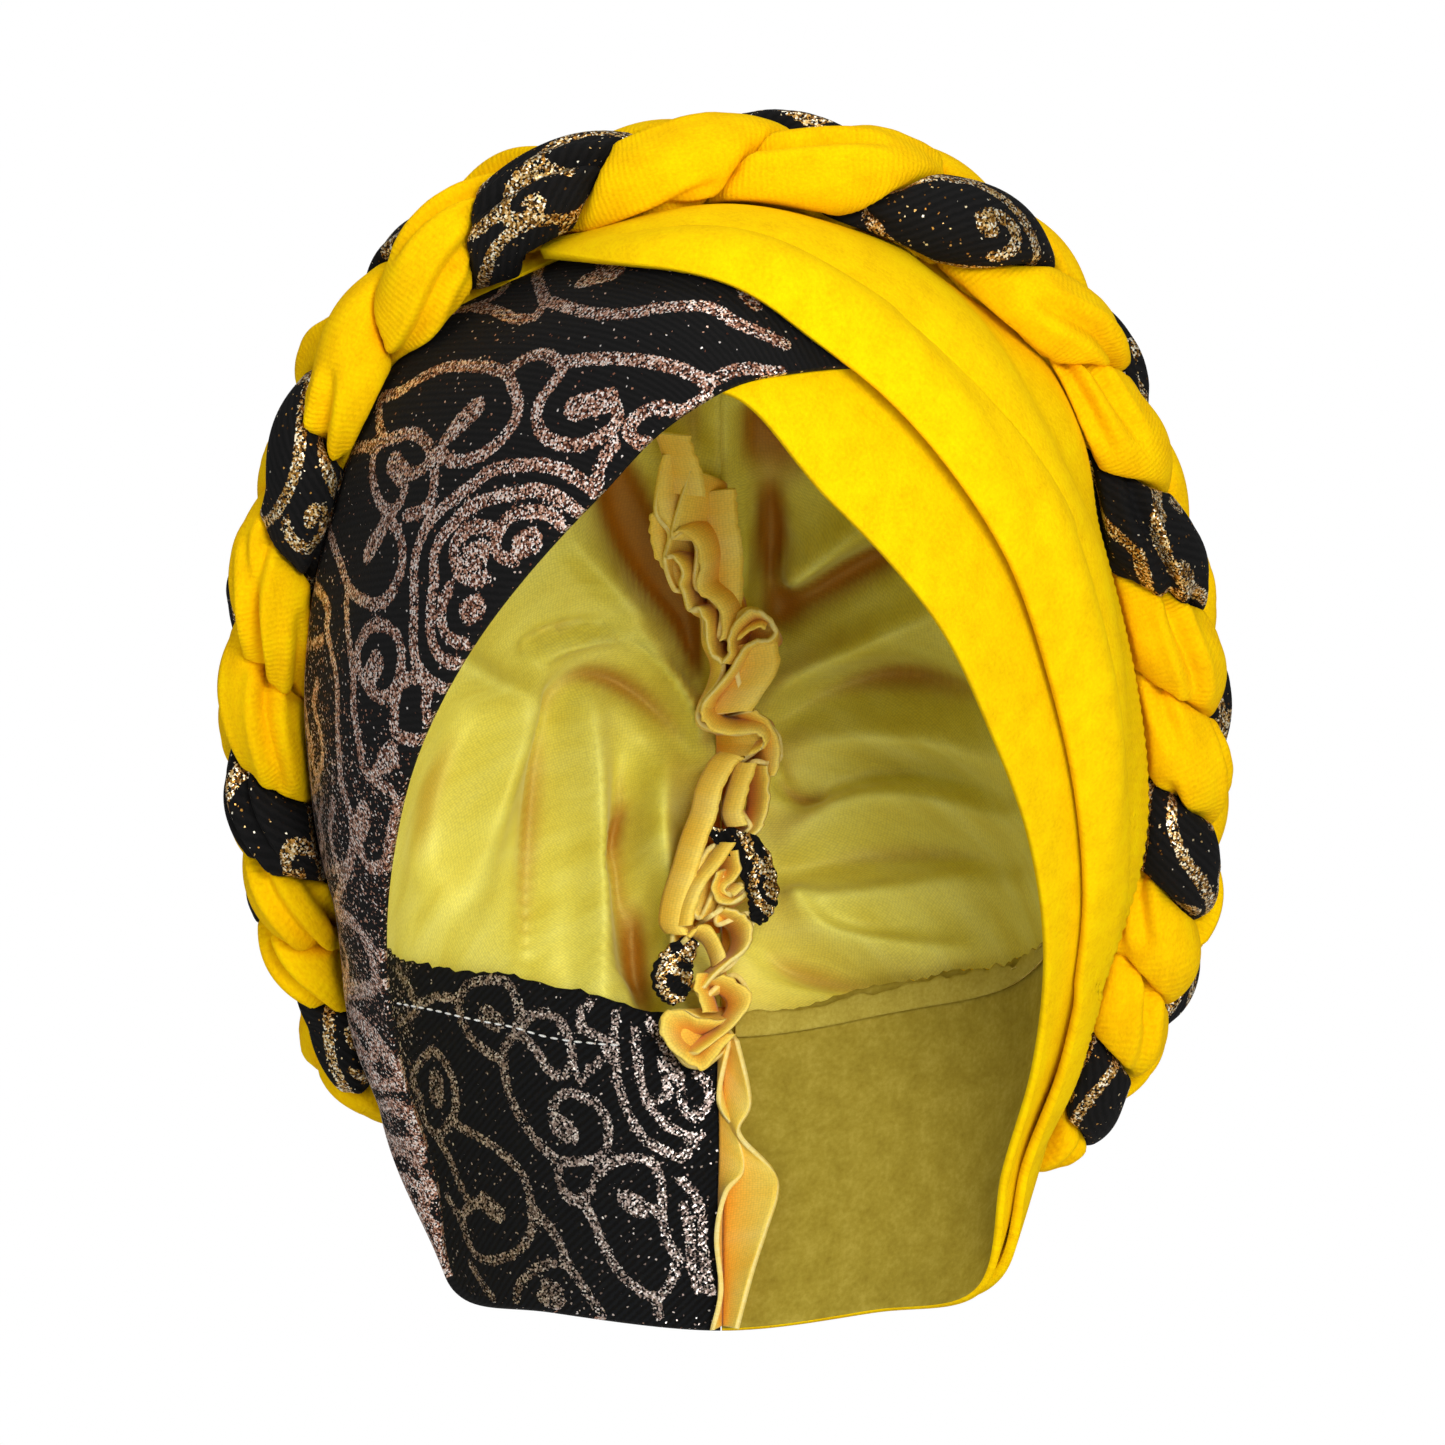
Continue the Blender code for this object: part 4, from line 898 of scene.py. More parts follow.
outerWrap = {"wall": 2.4, "cells": (340, 130), "roll": 3.2, "ridgeHeight": 2.6, "rollShare": 0.32}
outerWrapRows = [
    (1.75, 0.03, 0.10, 2.4), (2.3, 0.04, 0.30, 2.6), (3.0, 0.06, 0.62, 3.0), (4.0, 0.09, 0.84, 4.0),
    (5.0, 0.13, 0.92, 4.6), (6.0, 0.16, 0.95, 4.8), (7.0, 0.19, 0.95, 5.0), (8.0, 0.21, 0.94, 5.4),
    (9.0, 0.26, 0.97, 5.7), (9.7, 0.26, 0.99, 5.4), (10.3, 0.48, 1.00, 5.6), (10.9, 0.92, 1.00, 5.8),
]


wrapValleys = [  # the line of each valley of the wrap (x, z as seen from the front), its width and its depth
    ([(44.9, -8.2), (53.7, -16.5), (62.0, -27.5), (70.2, -41.8), (77.4, -56.1), (83.4, -70.5),
      (87.3, -87.0), (89.5, -104.5), (90.0, -124.4), (88.7, -146.4), (85.1, -168.4), (80.1, -190.4)],
     3.4, 4.6),
    ([(39.4, -23.1), (49.9, -36.3), (59.2, -50.6), (66.2, -67.1), (71.9, -84.7), (77.2, -104.5),
      (80.7, -124.4), (81.6, -144.1), (80.7, -166.1)],
     3.6, 2.0),
    ([(75.7, -69.3), (81.2, -89.1), (84.7, -109.0), (85.6, -130.9), (84.0, -152.9), (80.1, -174.9),
      (75.0, -199.1), (70.6, -214.6)],
     2.2, 2.2),
]


def wrapValley(u, v):  # how deep the wrap is pressed in
    depth = 0.0 * u
    for line, width, deep in wrapValleys:
        at = np.linspace(0, len(line) - 1, 90)
        best = 0.0 * u
        for (x, z), strong in zip(curve(line, at), np.sin(math.pi * np.linspace(0.08, 0.92, 90)) ** 0.5):
            best = np.maximum(best, strong * np.exp(-((u - x)**2 + (v - z)**2) / width**2))
        depth = depth + deep * best
    return depth


def outerWrapSurface(along, across):
    section, place, lift = bandStrip(outerWrapRows, along, across)
    full = ramp(along, 0.1, 0.4) * (1 - ramp(along, 0.8, 1.0))
    roll = outerWrap["roll"] * np.sin(math.pi * np.clip(across / outerWrap["rollShare"], 0, 1)) * full
    ridge = outerWrap["ridgeHeight"] * np.sin(math.pi * across) * full
    u, v = pictureOf(headband(section, place, lift))
    return headband(section, place, lift + roll + ridge - wrapValley(u, v))


wrapYellow = makeSheet("wrapYellow", [outerWrapSurface], [outerWrap["cells"]], outerWrap["wall"],
                       (yellowOuter, yellowOuter, yellowOuter))
print("headband made")


# Braid of two yellow strands and one of lurex

braid = {
    "sway": 10.2, "rise": 3.9, "apart": 6.0, "radius": 9.5, "gap": 0.45, "steps": 24, "sides": 72,
    "rings": 900,
    "clothGap": 0.5, "seat": 0.42, "smoothings": 80, "taper": 0.055, "end": 0.38, "softenings": 1,
    "creases": [  # depth, where round the strand, how far it drifts, how long it runs, how wide in radians
        (4.2, 0.3, 0.7, 88.0, 0.15), (3.4, 1.5, 0.6, 64.0, 0.13), (4.2, 3.3, 0.8, 76.0, 0.16),
        (3.4, 4.6, 0.6, 58.0, 0.13), (3.2, 5.5, 0.7, 92.0, 0.14),
    ],
    "lookDown": 40.0, "across": np.arange(-25.0, 25.1, 1.5),
}
braidRows = [  # x, y, z of its middle line, lean, turns of the plait
    (-63.0, 82.0, -188.0, 2.2, -0.30), (-72.0, 73.0, -180.0, 3.6, -0.01), (-82.5, 66.0, -171.5, 4.5, 0.31),
    (-92.0, 58.5, -159.5, 5.4, 0.65), (-97.0, 50.5, -143.5, 5.9, 1.01), (-100.4, 41.0, -121.5, 6.3, 1.40),
    (-99.9, 29.0, -97.5, 6.3, 1.71), (-94.8, 15.0, -72.0, 6.3, 2.03), (-85.4, 2.0, -47.3, 6.3, 2.37),
    (-70.6, -11.0, -22.7, 6.3, 2.74), (-44.5, -25.0, 0.4, 6.3, 3.18), (3.5, -33.0, 9.6, 6.3, 3.75),
    (46.0, -25.0, 1.0, 6.3, 4.23), (71.0, -11.0, -21.5, 6.3, 4.66), (85.0, 2.0, -46.5, 6.3, 5.03),
    (95.2, 15.0, -72.0, 6.3, 5.37), (101.2, 27.0, -98.0, 6.3, 5.75), (102.4, 37.0, -124.0, 6.3, 6.12),
    (100.4, 44.5, -148.0, 5.9, 6.49), (95.0, 51.0, -168.0, 5.4, 6.86), (86.8, 58.0, -184.0, 4.5, 7.20),
    (76.5, 65.0, -197.5, 3.6, 7.53), (67.0, 76.0, -207.0, 2.2, 7.85),
]


def clothUnder(pieces):
    bpy.context.view_layer.update()
    depsgraph = bpy.context.evaluated_depsgraph_get()
    points, faces = [], []
    for piece in pieces:
        mesh = piece.evaluated_get(depsgraph).to_mesh()
        start = len(points)
        points += [vertex.co.copy() for vertex in mesh.vertices]
        faces += [[start + index for index in face.vertices] for face in mesh.polygons]
    return BVHTree.FromPolygons(points, faces)


def braidFrames(at):
    row = curve(braidRows, at)
    along = unit(curve(braidRows, at + 0.05)[:, 0:3] - curve(braidRows, at - 0.05)[:, 0:3])
    back = np.array([0.0, 1.0, 0.0])
    radial = unit(np.cross(back, along))
    radial *= np.sign(np.sum(radial * (row[:, 0:3] - headMiddle), axis=1))[:, None]
    front = unit(-back + along * np.sum(along * back, axis=1)[:, None])
    lean = np.radians(row[:, 3])[:, None]
    outward = radial * np.cos(lean) + front * np.sin(lean)
    frontward = front * np.cos(lean) - radial * np.sin(lean)
    return row[:, 0:3], outward, frontward, row[:, 4]


def layBraid(under):  # the height of the cloth below the braid, and where its strands pass over it
    rings, places = braid["rings"], braid["across"]
    share = np.linspace(0.0, 1.0, rings)
    middle, outward, frontward, turns = braidFrames(share * (len(braidRows) - 1))
    ends = ramp(share, 0.0, braid["taper"]) * (1 - ramp(share, 1 - braid["taper"], 1.0))
    sizes = braid["end"] + (1 - braid["end"]) * ends
    ground = np.full((rings, len(places)), -braid["lookDown"])
    for ring in range(rings):
        for column, sideways in enumerate(places):
            above = middle[ring] + frontward[ring] * sideways + outward[ring] * braid["lookDown"]
            hit = under.ray_cast(Vector(above * mm), Vector(-outward[ring]), 2 * braid["lookDown"] * mm)
            if hit[0] is not None:
                ground[ring, column] = braid["lookDown"] - hit[3] / mm
    highest = ground
    for along in range(-6, 7):
        for across in (-1, 0, 1):
            highest = np.maximum(highest, np.roll(ground, (along, across), (0, 1)))
    ground = highest + braid["clothGap"]
    centres = np.zeros((rings, 3, 2))
    rises = np.zeros((rings, 3))
    for strand in range(3):
        phase = 2 * math.pi * (turns + strand / 3)
        centres[:, strand, 0] = braid["sway"] * sizes * np.sin(phase)
        centres[:, strand, 1] = -braid["rise"] * sizes * np.sin(2 * phase)
        floor = np.array([np.interp(centres[ring, strand, 0], places, ground[ring]) for ring in range(rings)])
        rises[:, strand] = -np.sin(2 * phase)
        centres[:, strand, 1] = np.maximum(centres[:, strand, 1],
                                           floor + braid["seat"] * braid["radius"] * sizes)
    every = np.arange(rings)
    for first, second in ((0, 1), (1, 2), (2, 0)):
        beside = centres[:, first, 0] - centres[:, second, 0]
        above = np.sqrt(np.maximum((braid["apart"] * sizes) ** 2 - beside**2, 0.0))
        upper = np.where(rises[:, first] > rises[:, second], first, second)
        lower = first + second - upper
        centres[every, upper, 1] = np.maximum(centres[every, upper, 1], centres[every, lower, 1] + above)
    for _ in range(braid["smoothings"]):
        centres[1:-1] = (centres[:-2] + 2 * centres[1:-1] + centres[2:]) / 4
    return middle, outward, frontward, turns, sizes, ground, centres


def groundAt(ground, station, sideways):  # the height of the cloth below the braid
    places = braid["across"]
    column = np.clip((sideways - places[0]) / (places[1] - places[0]), 0, len(places) - 1.001)
    first = column.astype(int)
    part = column - first
    return ground[station, first] * (1 - part) + ground[station, first + 1] * part


def strandLines(laid):  # the middle line of each strand
    middle, outward, frontward, turns, sizes, ground, centres = laid
    return [middle + frontward * centres[:, strand, 0:1] + outward * centres[:, strand, 1:2]
            for strand in range(3)]


def strandSurface(strand, laid):  # rings of points round one strand, pressed flat by what it touches
    middle, outward, frontward, turns, sizes, ground, centres = laid
    rings, sides = braid["rings"], braid["sides"]
    lines = strandLines(laid)
    own = lines[strand]
    tangent = unit(np.gradient(own, axis=0))
    up = unit(outward - tangent * np.sum(outward * tangent, axis=1)[:, None])
    across = np.cross(tangent, up)
    angle = 2 * math.pi * np.arange(sides) / sides
    ways = up[:, None, :] * np.cos(angle)[None, :, None] + across[:, None, :] * np.sin(angle)[None, :, None]
    full = braid["radius"] * sizes
    shares = np.linspace(0.06, 1.0, braid["steps"])
    axis = unit(np.gradient(middle, axis=0))
    spacing = np.linalg.norm(np.gradient(middle, axis=0), axis=1)
    reach = np.tile(full[:, None], (1, sides))
    pressed = np.full((rings, sides), 1e3)
    laidOn = np.full((rings, sides), 1e3)
    for share in shares[::-1]:
        points = own[:, None, :] + ways * (full * share)[:, None, None]
        moved = np.sum((points - middle[:, None, :]) * axis[:, None, :], axis=2) / spacing[:, None]
        station = np.clip(np.rint(np.arange(rings)[:, None] + moved), 0, rings - 1).astype(int)
        offset = points - middle[station]
        sideways = np.sum(offset * frontward[station], axis=2)
        height = np.sum(offset * outward[station], axis=2)
        sunk = height < groundAt(ground, station, sideways)
        laidOn[sunk] = np.broadcast_to((full * share)[:, None], (rings, sides))[sunk]
        nearest = np.full((rings, sides), np.inf)
        for other in range(3):
            if other == strand:
                continue
            for shift in range(-56, 57, 4):
                near = np.clip(np.arange(rings) + shift, 0, rings - 1)
                nearest = np.minimum(nearest, np.linalg.norm(points - lines[other][near][:, None, :], axis=2))
        tight = nearest < (full * share)[:, None] + braid["gap"]
        pressed[tight] = np.broadcast_to((full * share)[:, None], (rings, sides))[tight]
    soft = (reach ** -8.0 + pressed ** -8.0 + laidOn ** -8.0) ** (-1 / 8.0)
    runs = np.concatenate([[0], np.cumsum(np.linalg.norm(np.diff(own, axis=0), axis=1))])[:, None]
    for depth, start, drift, length, width in braid["creases"]:
        path = start + 2.1 * strand + drift * np.sin(2 * math.pi * runs / (length * 2.7) + strand)
        away = np.abs((angle[None, :] - path + math.pi) % (2 * math.pi) - math.pi)
        shown = np.clip(np.sin(2 * math.pi * runs / length + 2 * strand + start), 0, 1) ** 0.45
        groove = np.exp(-(away / width) ** 2)
        bank = np.exp(-((away - 2.4 * width) / width) ** 2)
        soft = soft - depth * shown * (groove - 0.4 * bank)
    for _ in range(braid["softenings"]):
        soft[1:-1] = (soft[:-2] + 2 * soft[1:-1] + soft[2:]) / 4
        soft = (np.roll(soft, 1, 1) + 2 * soft + np.roll(soft, -1, 1)) / 4
    return own, own[:, None, :] + ways * soft[:, :, None]


def braidStrand(name, strand, laid, finish, scroll=None):
    own, points = strandSurface(strand, laid)
    rings, sides = points.shape[:2]
    runs = np.concatenate([[0], np.cumsum(np.linalg.norm(np.diff(own, axis=0), axis=1))])
    girth = 2 * math.pi * braid["radius"]
    shape = bmesh.new()
    bmesh.ops.create_grid(shape, x_segments=rings - 1, y_segments=sides, size=0.5)
    shape.verts.ensure_lookup_table()
    flat = np.array([vertex.co for vertex in shape.verts]) + 0.5
    ring = np.rint(flat[:, 0] * (rings - 1)).astype(int)
    side = np.rint(flat[:, 1] * sides).astype(int)
    for vertex, row, column in zip(shape.verts, ring, side % sides):
        vertex.co = Vector(points[row, column] * mm)
    places = np.column_stack([runs[ring], side / sides * girth])
    clothMap = shape.loops.layers.uv.new("clothMap")
    for face in shape.faces:
        for corner in face.loops:
            corner[clothMap].uv = places[corner.vert.index]
    if scroll is not None:
        level = shape.verts.layers.float.new("scroll")
        for vertex, value in zip(shape.verts, scroll(None, places)):
            vertex[level] = value
    bmesh.ops.remove_doubles(shape, verts=shape.verts[:], dist=1e-7)
    bmesh.ops.holes_fill(shape, edges=[edge for edge in shape.edges if edge.is_boundary], sides=0)
    bmesh.ops.recalc_face_normals(shape, faces=shape.faces[:])
    made = makeObject(name, shape)
    made.data.materials.append(finish)
    made.data.shade_smooth()
    return made


laid = layBraid(clothUnder([crownRight, crownLeft, bandLurex, bandYellow, wrapYellow]))
braidLurex = braidStrand("braidLurex", 0, laid, lurexBraid,
                         strandScroll(760.0, 2 * math.pi * braid["radius"]))
braidYellowA = braidStrand("braidYellowA", 1, laid, yellowBraid)
braidYellowB = braidStrand("braidYellowB", 2, laid, yellowBraid)
print("braid made")


# Ruffles inside, where the seam allowances are gathered

ruffle = {
    "wall": 1.15, "cells": (520, 16), "ribbonCells": (90, 8), "root": 0.8, "rootApart": 0.6, "flare": 1.2,
    "sway": 3.0,
    "bow": 1.0, "fray": 0.3,
}
ruffleLeft = [  # x, z of the free edge as seen from the front
    (-13.5, -54.0), (-14.5, -63.0), (-11.5, -68.0), (-12.5, -74.0), (-10.5, -80.0), (-8.5, -80.5),
    (-6.5, -84.5), (-4.0, -85.5), (-3.0, -91.5), (0.5, -96.0), (-0.5, -100.5), (-4.0, -105.0), (-5.0, -108.5),
    (-3.0, -110.5), (3.0, -112.0), (8.0, -111.5), (9.5, -114.0), (7.5, -116.0), (4.0, -118.5),
    (0.0, -122.0), (-3.0, -127.0),
    (-5.0, -133.5), (-7.0, -141.5), (-10.0, -151.5), (-11.0, -159.0),
]
ruffleRight = [
    (-7.0, -54.0), (-11.0, -68.0), (-8.0, -67.5), (-5.5, -71.0), (-6.0, -79.0), (-3.0, -81.5), (0.0, -85.0),
    (-0.5, -90.5), (2.0, -89.5), (4.0, -85.5), (7.5, -84.5), (11.5, -88.0), (11.5, -91.5), (7.0, -93.0),
    (3.5, -96.0), (4.5, -102.5), (7.5, -107.0), (12.0, -111.5), (13.0, -114.0), (13.0, -117.5),
    (10.5, -118.5), (7.5, -118.0), (6.0, -120.0), (4.5, -123.5), (3.0, -127.5), (6.5, -132.5),
    (2.0, -135.5), (-3.0, -137.5),
    (-6.0, -143.5), (-7.0, -149.0), (-5.0, -152.5), (-2.5, -148.0), (-0.5, -143.0), (1.5, -145.5),
    (5.0, -145.0), (4.5, -147.0), (0.0, -149.5), (-1.0, -154.0), (6.0, -151.5), (6.5, -155.0),
    (3.0, -162.0), (-2.5, -165.5),
    (-5.5, -166.5), (-4.0, -170.0), (2.5, -165.0), (6.0, -169.0), (5.0, -172.5), (1.5, -175.0),
    (-3.0, -175.5), (-9.0, -173.0), (-13.0, -174.5), (-13.0, -178.0), (-10.0, -182.5), (-7.5, -185.0),
    (-3.5, -185.5),
]


ruffleRibbons = [  # the free edge of each loop (x, z as seen from the front), how far its root lies from it,
    # how much it draws in towards the loop's middle, and how far edge and root stand before the seam
    ([(-6.8, -46.5), (-4.6, -53.5), (-3.3, -59.7)],
     (-7.5, 0.9), 0, 15.0, 12.0),
    ([(-13.0, -50.6), (-14.1, -55.7), (-14.3, -60.5), (-13.4, -64.1), (-10.6, -68.2)],
     (6.6, 1.3), 0, 13.5, 10.0),
    ([(-15.6, -63.6), (-15.4, -69.3), (-13.4, -74.8), (-10.1, -79.7)],
     (4.8, 1.8), 0, 11.5, 8.5),
    ([(-10.8, -67.8), (-9.0, -67.6), (-6.8, -68.9), (-5.3, -71.5), (-4.8, -74.8), (-5.3, -78.1),
      (-5.3, -80.4), (-3.5, -81.9), (-1.8, -83.0), (-0.4, -85.2), (0.0, -88.0), (-0.2, -91.4)],
     (5.3, 2.6), 0, 16.5, 9.5),
    ([(3.3, -57.9), (3.7, -65.0), (4.8, -73.8), (4.6, -83.9)],
     (-7.5, -0.9), 0, 12.0, 9.5),
    ([(-12.3, -72.9), (-10.8, -73.1), (-9.2, -74.4), (-8.6, -77.0), (-9.0, -79.9), (-7.3, -84.3),
      (-5.1, -84.7), (-3.7, -86.5), (-3.3, -89.1), (-3.1, -92.5), (-1.8, -95.1), (0.2, -96.4)],
     (4.0, 0.9), 0, 17.5, 5.5),
    ([(0.2, -96.4), (1.8, -94.0), (1.5, -91.4), (2.4, -88.7), (4.2, -86.3), (6.4, -84.7), (9.0, -85.4),
      (11.0, -87.2), (11.9, -89.8), (10.3, -91.4), (7.9, -91.6), (5.5, -92.7), (3.7, -95.1), (1.3, -99.0),
      (-1.8, -102.6), (-4.0, -105.2), (-4.6, -107.4)],
     (3.1, -0.9), 0.25, 18.0, 7.0),
    ([(3.7, -91.4), (5.9, -89.6), (8.1, -88.7), (9.7, -89.1)],
     (0.9, 2.2), 0, 17.5, 11.5),
    ([(11.9, -91.4), (12.8, -95.3), (12.3, -98.4), (9.7, -102.4), (6.8, -106.7)],
     (-9.7, -1.3), 0, 16.0, 13.0),
    ([(-4.6, -107.4), (-3.7, -109.6), (-1.5, -111.4), (2.0, -112.2), (5.7, -112.0), (8.1, -112.2),
      (9.2, -113.8), (8.6, -115.5), (5.9, -116.9)],
     (2.2, 3.1), 0, 18.5, 12.5),
    ([(6.8, -106.7), (9.7, -108.5), (12.5, -112.2), (13.0, -116.6), (12.1, -121.0)],
     (-5.7, -1.3), 0, 16.5, 7.5),
    ([(5.3, -117.1), (3.1, -118.9), (0.2, -124.4), (-1.1, -129.9), (-3.3, -135.8), (-5.3, -142.4),
      (-7.3, -148.6), (-8.1, -154.1), (-6.8, -156.5)],
     (-5.3, 0.9), 0, 16.5, 13.5),
    ([(7.9, -118.4), (5.9, -124.4), (4.8, -129.2), (5.7, -132.3)],
     (-4.4, 0.0), 0, 17.5, 14.5),
    ([(10.3, -118.9), (10.6, -126.5), (9.2, -132.1), (7.5, -134.2)],
     (-4.4, 0.0), 0, 17.0, 7.0),
    ([(3.1, -135.8), (0.2, -140.2), (-3.3, -144.6), (-5.5, -149.6), (-6.4, -154.1)],
     (-3.5, -0.4), 0, 18.0, 15.5),
    ([(3.7, -137.6), (4.4, -141.5), (3.1, -144.1), (1.3, -145.5), (1.1, -147.0), (3.1, -147.4),
      (5.3, -145.7)],
     (-4.0, 0.9), 0.2, 18.0, 10.0),
    ([(-1.1, -142.4), (-2.2, -145.9), (-1.1, -148.6), (2.0, -149.4), (4.6, -148.1)],
     (2.6, 1.8), 0.2, 18.5, 10.5),
    ([(-6.8, -156.5), (-4.2, -154.1), (-1.5, -155.4), (0.2, -158.4), (0.9, -161.1)],
     (-2.6, -2.2), 0, 17.5, 13.5),
    ([(-2.0, -151.9), (0.9, -150.3), (3.7, -151.0), (6.2, -152.9), (6.8, -156.5), (5.3, -159.6),
      (2.0, -162.2), (-1.3, -165.1), (-3.5, -167.7)],
     (-4.0, -1.8), 0.1, 18.0, 8.0),
    ([(-5.3, -164.6), (-5.9, -167.2), (-4.8, -170.6), (-4.0, -173.2)],
     (3.1, 0.0), 0, 18.0, 12.0),
    ([(0.2, -165.1), (3.5, -166.4), (6.4, -168.6), (6.6, -171.0), (5.1, -173.6), (2.4, -176.7),
      (-1.5, -179.8), (-4.8, -182.2)],
     (-4.8, -1.3), 0.1, 18.0, 11.0),
    ([(0.9, -174.9), (-4.6, -174.5), (-8.6, -172.8), (-12.1, -173.0), (-13.4, -175.2), (-13.0, -178.5),
      (-10.6, -182.0), (-6.8, -184.9), (-3.7, -185.9), (-1.8, -184.0), (0.4, -181.1), (3.3, -178.0)],
     (0.0, 0.0), 0.75, 17.0, 10.0),
]


def towardsCamera(x, y, z):  # the point at depth y that the camera sees at x, z of the picture
    grow = (cameraDistance + y) / cameraDistance
    return np.stack([x * grow, y + 0 * x, cameraHeight + (z - cameraHeight) * grow], axis=-1)


def ruffleRoot(height):  # y, z of the centre seam behind a point of the ruffle
    heights = np.array([row[1] for row in centreSeam])
    return curve(centreSeam, np.interp(height, heights, range(len(heights))))


def ruffleSurface(edgeRows, side, depth):
    def surface(along, across):
        at = along * (len(edgeRows) - 1)
        edge = curve(edgeRows, at)
        low = np.minimum.accumulate([row[1] for row in edgeRows])
        seam = ruffleRoot(np.interp(at, range(len(edgeRows)), low))
        root = np.stack([side * ruffle["rootApart"] + 0 * along, seam[..., 0] - ruffle["root"],
                         seam[..., 1]], axis=-1)
        free = towardsCamera(edge[..., 0], seam[..., 0] - depth, edge[..., 1])
        flare = across ** ruffle["flare"]
        bow = np.stack([side * 2.0 * np.sin(math.pi * across), 0 * across, 0 * across], axis=-1)
        sway = ruffle["sway"] * ripple(at * 3.0, 0 * at, 9.0, 20 + side) * across * (1 - across)
        reach = (free - root) * np.stack([flare, across, flare], axis=-1)
        return root + reach + bow + sway[..., None] * np.array([1, 0, 0.6])
    return surface


def ribbonSurface(rim, shift, closing, edgeDepth, rootDepth):
    rim = np.array(rim)
    middle = rim.mean(axis=0)
    length = np.linalg.norm(np.diff(rim, axis=0), axis=1).sum()

    def surface(along, across):
        edge = curve(rim, along * (len(rim) - 1))
        back = 1 - across
        spot = edge + back[..., None] * (np.array(shift) + closing * (middle - edge))
        wave = across**4 * ruffle["fray"] * ripple(along * length, 0 * along, 3.0, len(rim))
        spot = spot + wave[..., None]
        depth = edgeDepth + (rootDepth - edgeDepth) * back ** 1.3 + ruffle["bow"] * np.sin(math.pi * across)
        return towardsCamera(spot[..., 0], ruffleRoot(spot[..., 1])[..., 0] - depth, spot[..., 1])
    return surface


def rootShade(depth):  # painted shade: a ruffle is coloured darker orange towards its root, the more the deeper it lies
    return lambda flat, places: np.clip(1.15 - 1.3 * flat[:, 1], 0.0, 1.0) * min(depth / 9.0, 1.0)


seamSurfaces = [ruffleSurface(ruffleLeft, -1, 14.0), ruffleSurface(ruffleRight, 1, 15.5)]
seamSurfaces += [ribbonSurface(*row) for row in ruffleRibbons]
seamShades = [rootShade(9.0)] * 2 + [rootShade(row[3] - row[4]) for row in ruffleRibbons]
seamRuffle = makeSheet("seamRuffle", seamSurfaces,
                       [ruffle["cells"]] * 2 + [ruffle["ribbonCells"]] * len(ruffleRibbons),
                       ruffle["wall"], (yellowRuffle, yellowRuffle, rawYellow), outward=False,
                       levels=[("paintedFoldShade", seamShades)])

bandRuffleLeft = [
    (2.0, -179.5), (-0.5, -193.0), (3.5, -200.0), (5.0, -208.0), (1.0, -213.0), (-1.0, -222.5), (0.0, -234.5),
    (-2.0, -243.2),
]
bandRuffleRight = [
    (3.5, -179.5), (6.5, -193.0), (4.0, -200.0), (11.5, -208.0), (12.5, -213.0), (10.0, -221.0),
    (7.0, -230.0), (3.5, -242.8),
]


def bandRuffleSurface(edgeRows, side, depth):
    def surface(along, across):
        edge = curve(edgeRows, along * (len(edgeRows) - 1))
        root = headband(0 * along, 0.97 - 0.965 * along, -0.8 + 0 * along)
        root[..., 0] = side * 0.5 + 0.3
        free = towardsCamera(edge[..., 0], root[..., 1] - depth, edge[..., 1])
        return root + (free - root) * across[..., None]
    return surface


bandRuffle = makeSheet("bandRuffle", [bandRuffleSurface(bandRuffleLeft, -1, 4.5),
                                      bandRuffleSurface(bandRuffleRight, 1, 6.5)],
                       [(150, 10)] * 2, ruffle["wall"], (yellowRuffle, yellowRuffle, rawYellow),
                       outward=False,
                       levels=[("paintedFoldShade", [rootShade(5.0)] * 2)])


# Bits of lurex caught in the ruffle

scraps = {  # the middle line of each (x, z), half its width along it, and its depth before the seam
    "upper": {"line": [(-2.5, -133.5), (5.5, -137.5), (9.0, -145.5), (8.8, -150.5), (7.4, -153.5)],
              "half": [1.0, 3.6, 3.4, 2.6, 1.2], "depth": 16.0},
    "lower": {"line": [(-6.0, -157.0), (-9.5, -161.5), (-10.8, -165.5), (-10.2, -169.0), (-9.4, -171.2)],
              "half": [1.5, 3.6, 4.4, 3.4, 1.4], "depth": 15.0},
    "curl": 1.6, "cells": (44, 26), "wall": 0.8,
}


def scrapSurface(size):
    def surface(along, across):
        at = along * (len(size["line"]) - 1)
        middle, half = curve(size["line"], at), curve([[value] for value in size["half"]], at)[..., 0]
        ahead = unit(curve(size["line"], at + 0.05) - curve(size["line"], at - 0.05))
        push = half * (2 * across - 1) + 0.25 * np.sin(along * 60)
        u, v = middle[..., 0] - ahead[..., 1] * push, middle[..., 1] + ahead[..., 0] * push
        seam = ruffleRoot(v)
        y = seam[..., 0] - size["depth"] - scraps["curl"] * np.sin(math.pi * along) * (2 * across - 1)**2
        return towardsCamera(u, y, v)
    return surface


scrapUpper = makeSheet("lurexScrapUpper", [scrapSurface(scraps["upper"])], [scraps["cells"]], scraps["wall"],
                       (lurexBraid, lurexBraid, lurexBraid), outward=False,
                       levels=[("scroll", [ringScroll(20.0, 8.0, 8)])])
scrapLower = makeSheet("lurexScrapLower", [scrapSurface(scraps["lower"])], [scraps["cells"]], scraps["wall"],
                       (lurexBraid, lurexBraid, lurexBraid), outward=False,
                       levels=[("scroll", [ringScroll(20.0, 8.0, 9)])])
print("ruffles made")


# What each piece stands for

def clothArea(piece):  # the area of one face of the cloth, in square metres
    return sum(face.area for face in piece.data.polygons)


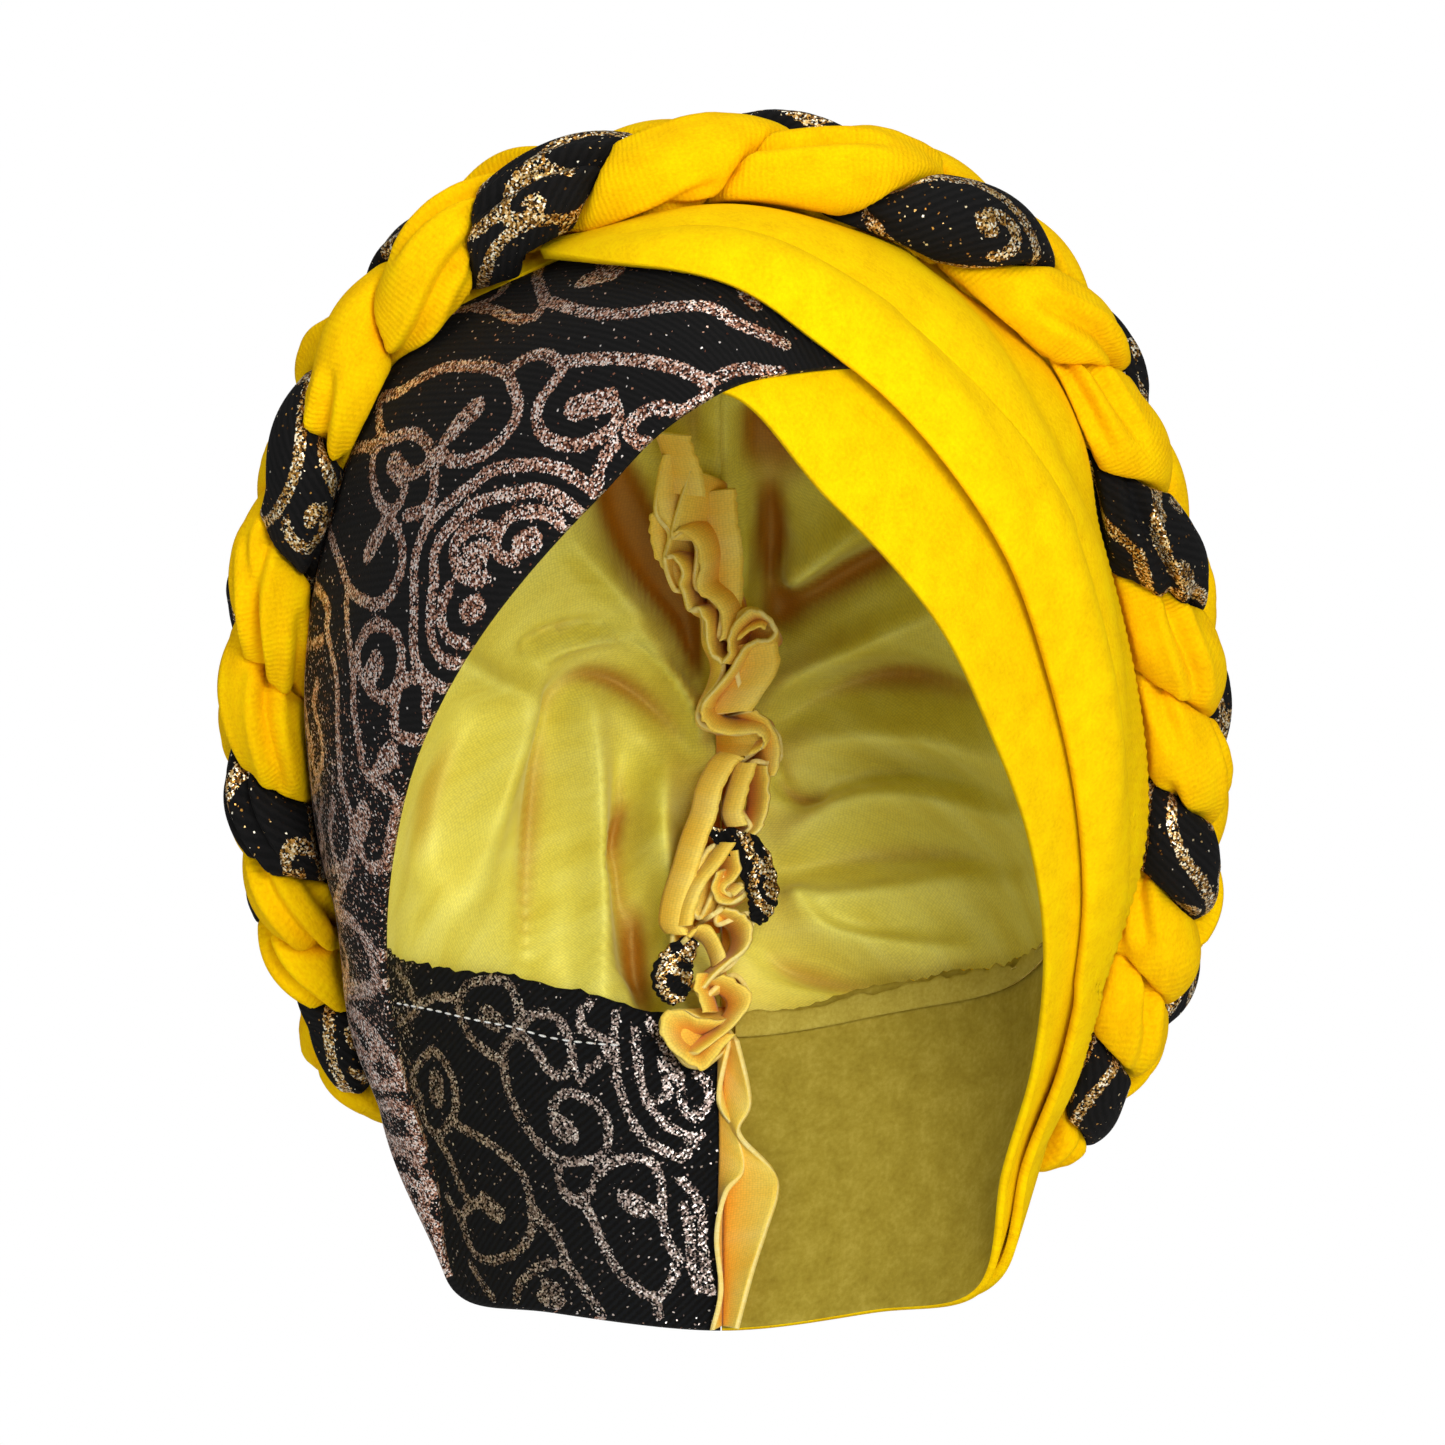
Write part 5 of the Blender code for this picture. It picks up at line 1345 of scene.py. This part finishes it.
pieces = [
    (crownRight, "crown_right", "yellow_jersey"), (crownLeft, "crown_left", "yellow_jersey"),
    (bandLurex, "band_lurex", "black_lurex"), (bandYellow, "band_yellow", "yellow_jersey"),
    (wrapYellow, "wrap_yellow", "yellow_jersey"), (braidLurex, "braid_lurex", "black_lurex"),
    (braidYellowA, "braid_yellow_a", "yellow_jersey"), (braidYellowB, "braid_yellow_b", "yellow_jersey"),
    (seamRuffle, "seam_ruffle", "yellow_jersey"), (bandRuffle, "band_ruffle", "yellow_jersey"),
    (stitches, "band_lurex", "black_lurex"), (bandTurnedEdge, "band_yellow", "yellow_jersey"),
    (scrapUpper, "lurex_scrap_upper", "black_lurex"), (scrapLower, "lurex_scrap_lower", "black_lurex"),
]
for piece, node, slot in pieces:
    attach(piece, "root")
    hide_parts(node)
    print(piece.name, "area", round(clothArea(piece), 5))


# Floor, light and camera

studio = {"floorHeight": -0.42, "floorRadius": 1.05, "worldLight": 0.24, "key": 10.0, "fill": 3.5, "top": 4.5,
          "low": 2.8}


def makeFloor():
    shape = bmesh.new()
    bmesh.ops.create_circle(shape, cap_ends=True, segments=96, radius=studio["floorRadius"])
    for vertex in shape.verts:
        vertex.co.z = studio["floorHeight"]
    floor = makeObject("floor", shape)
    finish, shader = newFinish("paintedFloor")  # matt white paint, with a trace of roller marks
    place = addNode(finish, "ShaderNodeTexCoord")
    marks = addNode(finish, "ShaderNodeTexNoise", {"Scale": 40.0}, {"Vector": place.outputs["Object"]})
    colour = addRamp(finish, marks.outputs["Fac"], [(0.0, "#EDEDEC"), (1.0, "#F4F4F3")])
    joinShader(finish, shader, {"Roughness": 0.8}, {"Base Color": colour.outputs["Color"]})
    floor.data.materials.append(finish)
    return floor


def addLight(name, size, power, place, aim):
    lamp = bpy.data.lights.new(name, "AREA")
    lamp.size = size
    lamp.energy = power
    made = bpy.data.objects.new(name, lamp)
    made.location = place
    made.rotation_euler = (Vector(aim) - Vector(place)).to_track_quat("-Z", "Y").to_euler()
    bpy.context.scene.collection.objects.link(made)


makeFloor()
world = bpy.data.worlds.new("studio")
world.use_nodes = True
backdrop = world.node_tree.nodes["Background"]
backdrop.inputs["Color"].default_value = (1.0, 1.0, 1.0, 1.0)
rays = world.node_tree.nodes.new("ShaderNodeLightPath")  # the backdrop looks white and lights the cap less
glow = world.node_tree.nodes.new("ShaderNodeMapRange")
glow.inputs["To Min"].default_value = studio["worldLight"]
glow.inputs["To Max"].default_value = 1.0
world.node_tree.links.new(rays.outputs["Is Camera Ray"], glow.inputs["Value"])
world.node_tree.links.new(glow.outputs["Result"], backdrop.inputs["Strength"])
bpy.context.scene.world = world
bpy.context.scene.view_settings.view_transform = "Standard"
middleOfCap = (0.0, 0.0, -0.11)
addLight("keyLight", 0.4, studio["key"], (0.3, -1.25, 0.2), middleOfCap)
addLight("fillLight", 0.9, studio["fill"], (-0.95, -0.8, 0.2), middleOfCap)
addLight("lowLight", 0.5, studio["low"], (0.3, -0.85, -0.37), middleOfCap)
addLight("topLight", 0.8, studio["top"], (0.1, -0.1, 1.1), middleOfCap)

camera = bpy.data.objects.new("camera", bpy.data.cameras.new("camera"))
camera.data.sensor_width = 36.0
camera.data.lens = 36.0 * cameraDistance / pictureWidth
camera.location = (0.33 * mm, -cameraDistance * mm, cameraHeight * mm)
camera.rotation_euler = (math.pi / 2, 0.0, 0.0)
bpy.context.scene.collection.objects.link(camera)
bpy.context.scene.camera = camera
print("studio made")
